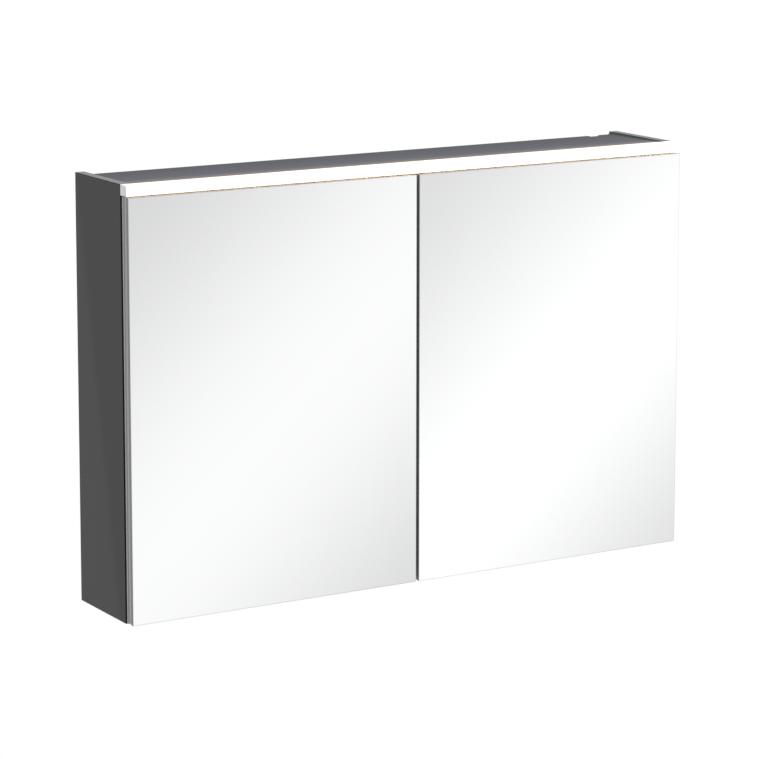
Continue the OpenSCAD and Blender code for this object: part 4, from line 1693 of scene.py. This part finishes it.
@dataclass
class SwitchBox:
    """The switch and socket box under the top panel, with what is in it and on it."""

    well_wall: float = 4.5 * MM  # round the plug well
    well_floor: float = 1.5 * MM  # from the well's mouth to the clips' front ends
    contact_gap: float = 0.6 * MM  # from the clips' rear ends to the pin contacts
    clip_gap: float = 0.2 * MM
    clip_width: float = 5 * MM
    clip_thick: float = 0.5 * MM
    clip_bow: float = 1.6 * MM
    clip_tip: float = 0.8  # where along the clip its bow ends
    clip_steps: int = 14

    def build(self) -> None:
        """Builds and dresses every piece."""
        shapes: list[tuple[str, float, int, float, Finish]] = [
            ("power_box", 1.2 * MM, 3, 12 * MM, WHITE),
            ("led_driver", 0.8 * MM, 2, 2 * MM, WHITE),
            ("terminal_block", 0.4 * MM, 2, 3 * MM, WHITE),
            ("cable_grommet", 0.5 * MM, 2, 0.0, RUBBER),
            ("switch_frame", 0.6 * MM, 2, 6 * MM, BLACK),
            ("switch_rocker", 0.5 * MM, 3, 3 * MM, BLACK),
            ("socket_insert", 0.6 * MM, 2, 0.0, WHITE),
            ("socket_contacts", 0.25 * MM, 1, 0.0, BRASS),
        ]
        for node, radius, segments, shortest, finish in shapes:
            mesh = softened(node, radius, segments, shortest, smooth=True)
            show(f"{node}_part", mesh, [node], [finish])
        self.earth_clips()

    def earth_clips(self) -> None:
        """The two sprung earth contacts at the top and bottom of the plug well."""
        low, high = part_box("socket_insert")
        middle = (low + high) / 2
        outermost = (high.x - low.x) / 2 - self.well_wall - self.clip_gap
        start_y = low.y + self.well_floor
        end_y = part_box("socket_contacts")[0].y - self.contact_gap
        half = self.clip_width / 2
        solid = bmesh.new()
        for way in (-1, 1):
            rows = []
            for step in range(self.clip_steps + 1):
                share = step / self.clip_steps
                bow = self.clip_bow * math.sin(math.pi * min(1.0, share / self.clip_tip)) ** 2
                y = start_y + (end_y - start_y) * share
                outer = outermost - bow
                inner = outer - self.clip_thick
                corners = ((-half, inner), (half, inner), (half, outer), (-half, outer))
                rows.append(
                    [solid.verts.new((middle.x + x, y, middle.z + way * z)) for x, z in corners]
                )
            for a, b in zip(rows, rows[1:]):
                for k in range(4):
                    solid.faces.new((a[k], a[(k + 1) % 4], b[(k + 1) % 4], b[k]))
            solid.faces.new(rows[0])
            solid.faces.new(rows[-1])
        bmesh.ops.recalc_face_normals(solid, faces=solid.faces)
        mesh = to_mesh(solid, "earth_clip_mesh", smooth=True)
        show("earth_clips", mesh, [], [BRASS], BODY_OF["socket_insert"])


@dataclass
class Hangers:
    """The adjustable hangers in the rear corners and the plates that they hook on to."""

    edge: float = 0.5 * MM

    def build(self) -> None:
        """Builds and dresses every piece."""
        for side in Side:
            for name, finish in (("hanger", BLACK), ("hanger_hook", ZINC), ("wall_plate", ZINC)):
                node = side.node(name)
                mesh = softened(node, self.edge, 2, 3 * MM, smooth=True)
                show(f"{node}_part", mesh, [node], [finish])
        mesh = softened("hanger_caps", 0.8 * MM, 3, 3 * MM, smooth=True)
        show("hanger_cover_pair", mesh, ["hanger_caps"], [BLACK])


@dataclass
class CarcassHinges:
    """The hinge plates and gooseneck arms on the side panels."""

    edge: float = 0.35 * MM

    def build(self) -> None:
        """Builds and dresses every piece."""
        for side in Side:
            for name, finish in (("hinge_plates", NICKEL), ("hinge_arms", NICKEL_BRUSHED)):
                node = side.node(name)
                mesh = softened(node, self.edge, 2, 2 * MM, smooth=True)
                show(f"{node}_part", mesh, [node], [finish])


class SheetFace(IntEnum):
    """The finishes of a mirror sheet, in the order of its materials."""

    SILVERED = 0
    RIM = 1
    BACK = 2
    UPPER_RIM = 3
    MARGIN = 4


@dataclass
class MirrorDoor:
    """One door: two sheets of mirror on a board, with its hinge cups and pins."""

    side: Side
    arris: float = 0.3 * MM
    margin: float = 1.3 * MM

    def build(self) -> None:
        """Builds and dresses every piece."""
        self.sheet("front_mirror", -1, FRONT_RIM)
        self.sheet("inner_mirror", 1, INNER_RIM)
        self.board()
        fittings = (("hinge_cups", 0.3 * MM, NICKEL), ("hinge_pins", 0.4 * MM, ZINC))
        for name, edge, finish in fittings:
            node = self.side.node(name)
            mesh = softened(node, edge, 2, 0.0, smooth=True)
            show(f"{node}_part", mesh, [node], [finish])

    def board(self) -> None:
        """The board between the sheets, with its layered edge and painted lamplight on its top
        edge.
        """
        node = self.side.node("door_core")
        low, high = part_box(node)
        edge = LayeredEdge(
            "door board edge",
            "core_edge",
            (0.245, 0.245, 0.247),
            (0.372, 0.372, 0.374),
            (low.y + high.y) / 2,
        )

        def pick(face: bmesh.types.BMFace) -> int:
            """Painted lamplight on the upper edge, the layered board for the rest."""
            return 1 if face.normal.z > SQUARE and face.calc_area() > BROAD else 0

        mesh = softened(node, self.arris, 1, PANEL_EDGE, pick=pick)
        show(f"{node}_board", mesh, [node], [edge, PAINTED_LAMPLIGHT_BAND])

    def sheet(self, name: str, outward: int, rim: Finish) -> None:
        """One mirror sheet, silvered on the side that faces out, with ground edges and painted
        lamplight on its top edge.

        Args:
            name: the CAD node's name without its side.
            outward: the sign of Y on the side that shows.
            rim: the finish of the ground edges.
        """

        def pick(face: bmesh.types.BMFace) -> int:
            """Silver for the face that shows, backing paint behind it, painted lamplight on the top
            rim, ground rims for the rest.

            Args:
                face: a face of the sheet.

            Returns:
                The number of its finish.
            """
            if abs(face.normal.z) > SQUARE:
                return SheetFace.UPPER_RIM if face.normal.z > 0 else SheetFace.RIM
            if abs(face.normal.y) < SQUARE:
                return SheetFace.RIM
            return SheetFace.SILVERED if face.normal.y * outward > 0 else SheetFace.BACK

        node = self.side.node(name)
        mesh = softened(
            node,
            self.arris,
            1,
            PANEL_EDGE,
            pick=pick,
            seam=SheetFace.RIM,
            margin=(SheetFace.SILVERED, self.margin, SheetFace.MARGIN),
        )
        show(f"{node}_sheet", mesh, [node], [SILVER, rim, MIRROR_BACK, UPPER_RIM, MARGIN])


# ------------------------------------------------------------------ studio


@dataclass(frozen=True)
class SoftLight:
    """A large square light."""

    name: str
    at: Point
    size: float
    power: float


@dataclass(frozen=True)
class Fade:
    """A brightness that goes evenly from one value to another between two places on an axis."""

    start: float
    end: float
    low: float
    high: float

    def over(self, graph: NodeGraph, place: bpy.types.NodeSocket) -> bpy.types.NodeSocket:
        """The brightness at a place, in a card's tree."""
        return graph.ranged(place, self.start, self.end, self.low, self.high)


@dataclass
class Studio:
    """The camera, the pale floor, the soft lights and the cards that the gloss reflects."""

    camera_at: Point = (-2.5113, -4.2727, 0.6853)
    turn: float = 30.812
    tilt: float = 8.775
    lens: float = 148.55
    shift: float = -0.2
    sensor: float = 36.0
    farthest: float = 60.0
    soft_light: float = 0.55
    gloss_light: float = 0.28
    gloss_tint: Colour = (0.89, 0.91, 1.0)
    floor_z: float = -2.3
    floor_reach: float = 9.0
    card_y: float = -6.5
    card_half: tuple[float, float] = (8.0, 6.0)  # half the front card's width and height
    card_ends: Fade = Fade(-3.0, 3.0, 0.68, 0.9)  # the card's brightness beside the left band
    card_ends_blend: tuple[float, float] = (-0.9, -0.1)  # from there to the band, along X
    left_band: tuple[float, ...] = (0.70, 0.81, 0.95, 1.03, 1.00, 0.88, 0.74)
    right_band: tuple[float, ...] = (0.75, 0.86, 0.99, 1.09, 1.08, 0.94, 0.78)
    band_slant: float = 1.5
    band_scale: float = 1.1  # the ramp's white, since a ramp ends at 1
    far_x: float = 7.5
    far_y: float = 8.2
    far_half_height: float = 5.0
    back_top: float = -0.2  # the back card ends here, so that the top face reflects none of it
    far_fade: Fade = Fade(-5.0, 1.5, 0.66, 0.78)
    dark_x: float = -0.9
    dark_spare: float = 110 * MM
    dark_levels: tuple[float, float] = (0.28, 0.36)
    slant_top: tuple[float, float] = (0.16, 0.17)  # shares of the panel's depth and height
    slant_low: tuple[float, float] = (0.88, 1.0)
    aim_at: Point = (0, -0.1, -0.3)
    lamps: tuple[SoftLight, ...] = (
        SoftLight("key", (-2.0, -3.0, 2.6), 2.4, 62.0),
        SoftLight("fill", (3.0, -3.2, 0.8), 2.4, 34.0),
        SoftLight("above", (0.0, 0.6, 3.0), 2.2, 30.0),
    )

    def build(self) -> None:
        """Builds everything that isn't part of the cabinet."""
        bpy.context.scene.view_settings.view_transform = "Standard"
        self.camera()
        self.surround()
        self.floor()
        self.front_card()
        self.far_cards()
        self.dark_card()
        self.lights()

    def camera(self) -> None:
        """The camera at the viewing angle, with no depth of field."""
        data = bpy.data.cameras.new("camera")
        data.lens, data.sensor_width, data.shift_y = self.lens, self.sensor, self.shift
        data.clip_end = self.farthest
        camera = bpy.data.objects.new("camera", data)
        camera.location = self.camera_at
        camera.rotation_euler = (math.radians(90 - self.tilt), 0, math.radians(-self.turn))
        bpy.context.scene.collection.objects.link(camera)
        bpy.context.scene.camera = camera

    def surround(self) -> None:
        """A white surround to look at, which lights and reflects less than it shows."""
        world = bpy.data.worlds.new("studio")
        world.use_nodes = True
        graph = NodeGraph(world.node_tree)
        graph.tree.nodes.clear()
        rays = graph.add("ShaderNodeLightPath")
        white = graph.add("ShaderNodeBackground", {0: (1, 1, 1, 1), 1: 1.0})
        tint = (*self.gloss_tint, 1)
        gloss = graph.add("ShaderNodeBackground", {0: tint, 1: self.gloss_light})
        soft = graph.add("ShaderNodeBackground", {0: (1, 1, 1, 1), 1: self.soft_light})
        dim = graph.add(
            "ShaderNodeMixShader",
            {0: rays.outputs["Is Glossy Ray"], 1: soft.outputs[0], 2: gloss.outputs[0]},
        )
        shown = graph.add(
            "ShaderNodeMixShader",
            {0: rays.outputs["Is Camera Ray"], 1: dim.outputs[0], 2: white.outputs[0]},
        )
        graph.add("ShaderNodeOutputWorld", {0: shown.outputs[0]})
        bpy.context.scene.world = world

    def sheet(
        self, name: str, corners: Sequence[Point], paint: Callable[[NodeGraph], object]
    ) -> bpy.types.Object:
        """A flat lit card.

        Args:
            name: the card's name.
            corners: its four corners.
            paint: gives the card's brightness from its own tree.

        Returns:
            The card.
        """
        mesh = bpy.data.meshes.new(name)
        mesh.from_pydata(corners, [], [tuple(range(len(corners)))])
        material = bpy.data.materials.new(name)
        material.use_nodes = True
        graph = NodeGraph(material.node_tree)
        graph.tree.nodes.clear()
        light = graph.add("ShaderNodeEmission", {"Strength": paint(graph)})
        graph.add("ShaderNodeOutputMaterial", {"Surface": light.outputs[0]})
        mesh.materials.append(material)
        card = bpy.data.objects.new(name, mesh)
        bpy.context.scene.collection.objects.link(card)
        return card

    def only_reflected(self, card: bpy.types.Object) -> None:
        """Hides a card from everything but reflections."""
        card.visible_camera = card.visible_diffuse = False
        card.visible_shadow = card.visible_transmission = False

    def floor(self) -> None:
        """The plain pale floor."""
        r, z = self.floor_reach, self.floor_z
        corners = [(-r, -r, z), (r, -r, z), (r, r, z), (-r, r, z)]
        floor = self.sheet("pale_floor", corners, lambda graph: 1.0)
        floor.visible_glossy = False

    def seen_in_doors(self, x: float, y: float, z: float) -> tuple[float, float]:
        """Where on the front card a point of a closed door's mirror looks.

        Args:
            x: the point's X.
            y: the mirror's plane.
            z: the point's Z.

        Returns:
            X and Z on the card.
        """
        cx, cy, cz = self.camera_at
        reach = (y - self.card_y) / (y - cy)
        return x + reach * (x - cx), z + reach * (z - cz)

    def front_card(self) -> None:
        """The large card in front, with a soft band of light for each door."""
        spans = []
        for side in Side:
            low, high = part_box(side.node("front_mirror"))
            left, top = self.seen_in_doors(low.x, low.y, high.z)
            right, bottom = self.seen_in_doors(high.x, low.y, low.z)
            spans.append((left, right, top, bottom))
        first, last = spans

        def paint(graph: NodeGraph) -> bpy.types.NodeSocket:
            """The bands' brightness, which fades to an even pale grey beyond them.

            Args:
                graph: the card's tree.

            Returns:
                The brightness.
            """
            x, _, z = graph.axes().outputs
            left_band = self.door_band(graph, x, z, first, self.left_band)
            right_band = self.door_band(graph, x, z, last, self.right_band)
            on_right = graph.sum("GREATER_THAN", x, (first[1] + last[0]) / 2)
            both = graph.add("ShaderNodeMix", {0: on_right, 2: left_band, 3: right_band})
            fade_from, fade_to = (first[0] + off for off in self.card_ends_blend)
            beyond = graph.ranged(x, fade_from, fade_to)
            ends = self.card_ends.over(graph, z)
            return graph.add("ShaderNodeMix", {0: beyond, 2: ends, 3: both.outputs[0]}).outputs[0]

        y = self.card_y
        wide, high = self.card_half
        corners = [(-wide, y, -high), (-wide, y, high), (wide, y, high), (wide, y, -high)]
        self.only_reflected(self.sheet("front_card", corners, paint))

    def door_band(
        self,
        graph: NodeGraph,
        x: bpy.types.NodeSocket,
        z: bpy.types.NodeSocket,
        span: tuple[float, float, float, float],
        levels: Sequence[float],
    ) -> bpy.types.NodeSocket:
        """The slanting band of light that one door reflects.

        Args:
            graph: the card's tree.
            x: the place's X.
            z: the place's Z.
            span: the left, right, top and bottom of what the door sees of the card.
            levels: the brightness at even steps across the band.

        Returns:
            The brightness.
        """
        left, right, top, bottom = span
        across = graph.ranged(x, left, right, clamp=False)
        down = graph.ranged(z, top, bottom, clamp=False)
        slant = graph.sum("ADD", across, graph.times(down, self.band_slant))
        share = graph.sum("DIVIDE", slant, 1 + self.band_slant)
        ramp = graph.add("ShaderNodeValToRGB", {0: share})
        ramp.color_ramp.interpolation = "B_SPLINE"
        stops = ramp.color_ramp.elements
        for i in range(1, len(levels) - 1):
            stops.new(i / (len(levels) - 1))
        for stop, level in zip(stops, levels):
            stop.color = (*[level / self.band_scale] * 3, 1)
        return graph.times(ramp.outputs[0], self.band_scale)

    def far_cards(self) -> None:
        """Pale cards beside, behind and under the cabinet, for open doors to reflect."""
        wide, front, back, top = self.far_x, self.card_y, self.far_y, self.back_top
        low, high = -self.far_half_height, self.far_half_height

        def paint(graph: NodeGraph) -> bpy.types.NodeSocket:
            """The cards' brightness, which falls off gently downwards."""
            return self.far_fade.over(graph, graph.axes().outputs["Z"])

        sheets = {
            "back_card": [
                (-wide, back, low), (-wide, back, top), (wide, back, top), (wide, back, low)
            ],
            "low_card": [
                (-wide, front, low), (wide, front, low), (wide, back, low), (-wide, back, low)
            ],
        }
        for side in Side:
            x = wide * side.value
            sheets[f"{side.name.lower()}_card"] = [
                (x, front, low), (x, front, high), (x, back, high), (x, back, low)
            ]
        for name, corners in sheets.items():
            self.only_reflected(self.sheet(name, corners, paint))

    def dark_card(self) -> None:
        """The dark card that the left side panel's gloss reflects, lighter past a slant."""
        low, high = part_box("left_side_panel")
        cx, cy, cz = self.camera_at
        reach = (low.x - self.dark_x) / (low.x - cx)

        def seen(deep: float, down: float) -> tuple[float, float]:
            """Where on the card a place on the panel looks.

            Args:
                deep: how far forward the place is, as a share of the panel's depth.
                down: how far down it is, as a share of the panel's height.

            Returns:
                Y and Z on the card.
            """
            y = high.y + (low.y - high.y) * deep
            z = high.z + (low.z - high.z) * down
            return y + reach * (y - cy), z + reach * (z - cz)

        (top_y, top_z), (low_y, low_z) = seen(*self.slant_top), seen(*self.slant_low)
        slope = (top_y - low_y) / (top_z - low_z)
        split_at = top_y - slope * top_z

        def paint(graph: NodeGraph) -> bpy.types.NodeSocket:
            """The card's brightness.

            Args:
                graph: the card's tree.

            Returns:
                The brightness.
            """
            _, y, z = graph.axes().outputs
            slant = graph.sum("SUBTRACT", y, graph.times(z, slope))
            return graph.ranged(slant, split_at - MM, split_at + MM, *self.dark_levels)

        x, spare = self.dark_x, self.dark_spare
        (near_y, near_z), (far_y, far_z) = seen(1.0, 1.0), seen(0.0, 0.0)
        y0, y1, z0, z1 = near_y - spare, far_y + spare, near_z - spare, far_z + spare
        corners = [(x, y0, z0), (x, y0, z1), (x, y1, z1), (x, y1, z0)]
        self.only_reflected(self.sheet("dark_card", corners, paint))

    def lights(self) -> None:
        """Three large soft lights, which show in no reflection."""
        for light in self.lamps:
            data = bpy.data.lights.new(light.name, "AREA")
            data.size, data.energy = light.size, light.power
            lamp = bpy.data.objects.new(light.name, data)
            lamp.location = light.at
            aim = Vector(self.aim_at) - Vector(light.at)
            lamp.rotation_euler = aim.to_track_quat("-Z", "Y").to_euler()
            lamp.visible_glossy = False
            bpy.context.scene.collection.objects.link(lamp)


def main() -> None:
    """Builds the studio and every sub-assembly."""
    logging.basicConfig(level=logging.INFO, format="%(message)s")
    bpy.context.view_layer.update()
    Studio().build()
    Carcass().build()
    GlassShelves().build()
    LightBar().build()
    SwitchBox().build()
    Hangers().build()
    CarcassHinges().build()
    for side in Side:
        MirrorDoor(side).build()
    fixings = Fixings()
    fixings.fit("light_screws", Head.DOMED, (0, -1, 0), ZINC, 1.4 * MM)
    fixings.fit("power_box_screws", Head.DOMED, (0, 0, -1), ZINC, 1.6 * MM)
    fixings.fit("hinge_arm_screws", Head.DOMED, (1, 0, 0), NICKEL, 1.6 * MM)
    fixings.fit("hinge_plate_screws", Head.SUNK, (1, 0, 0), NICKEL, 2.0 * MM)
    fixings.fit("hanger_adjusters", Head.HEADLESS, (0, -1, 0), ZINC, 3.0 * MM)
    for side in Side:
        fixings.fit(side.node("cup_screws"), Head.DOMED, (0, 1, 0), NICKEL, 1.2 * MM)


if __name__ == "__main__":
    main()
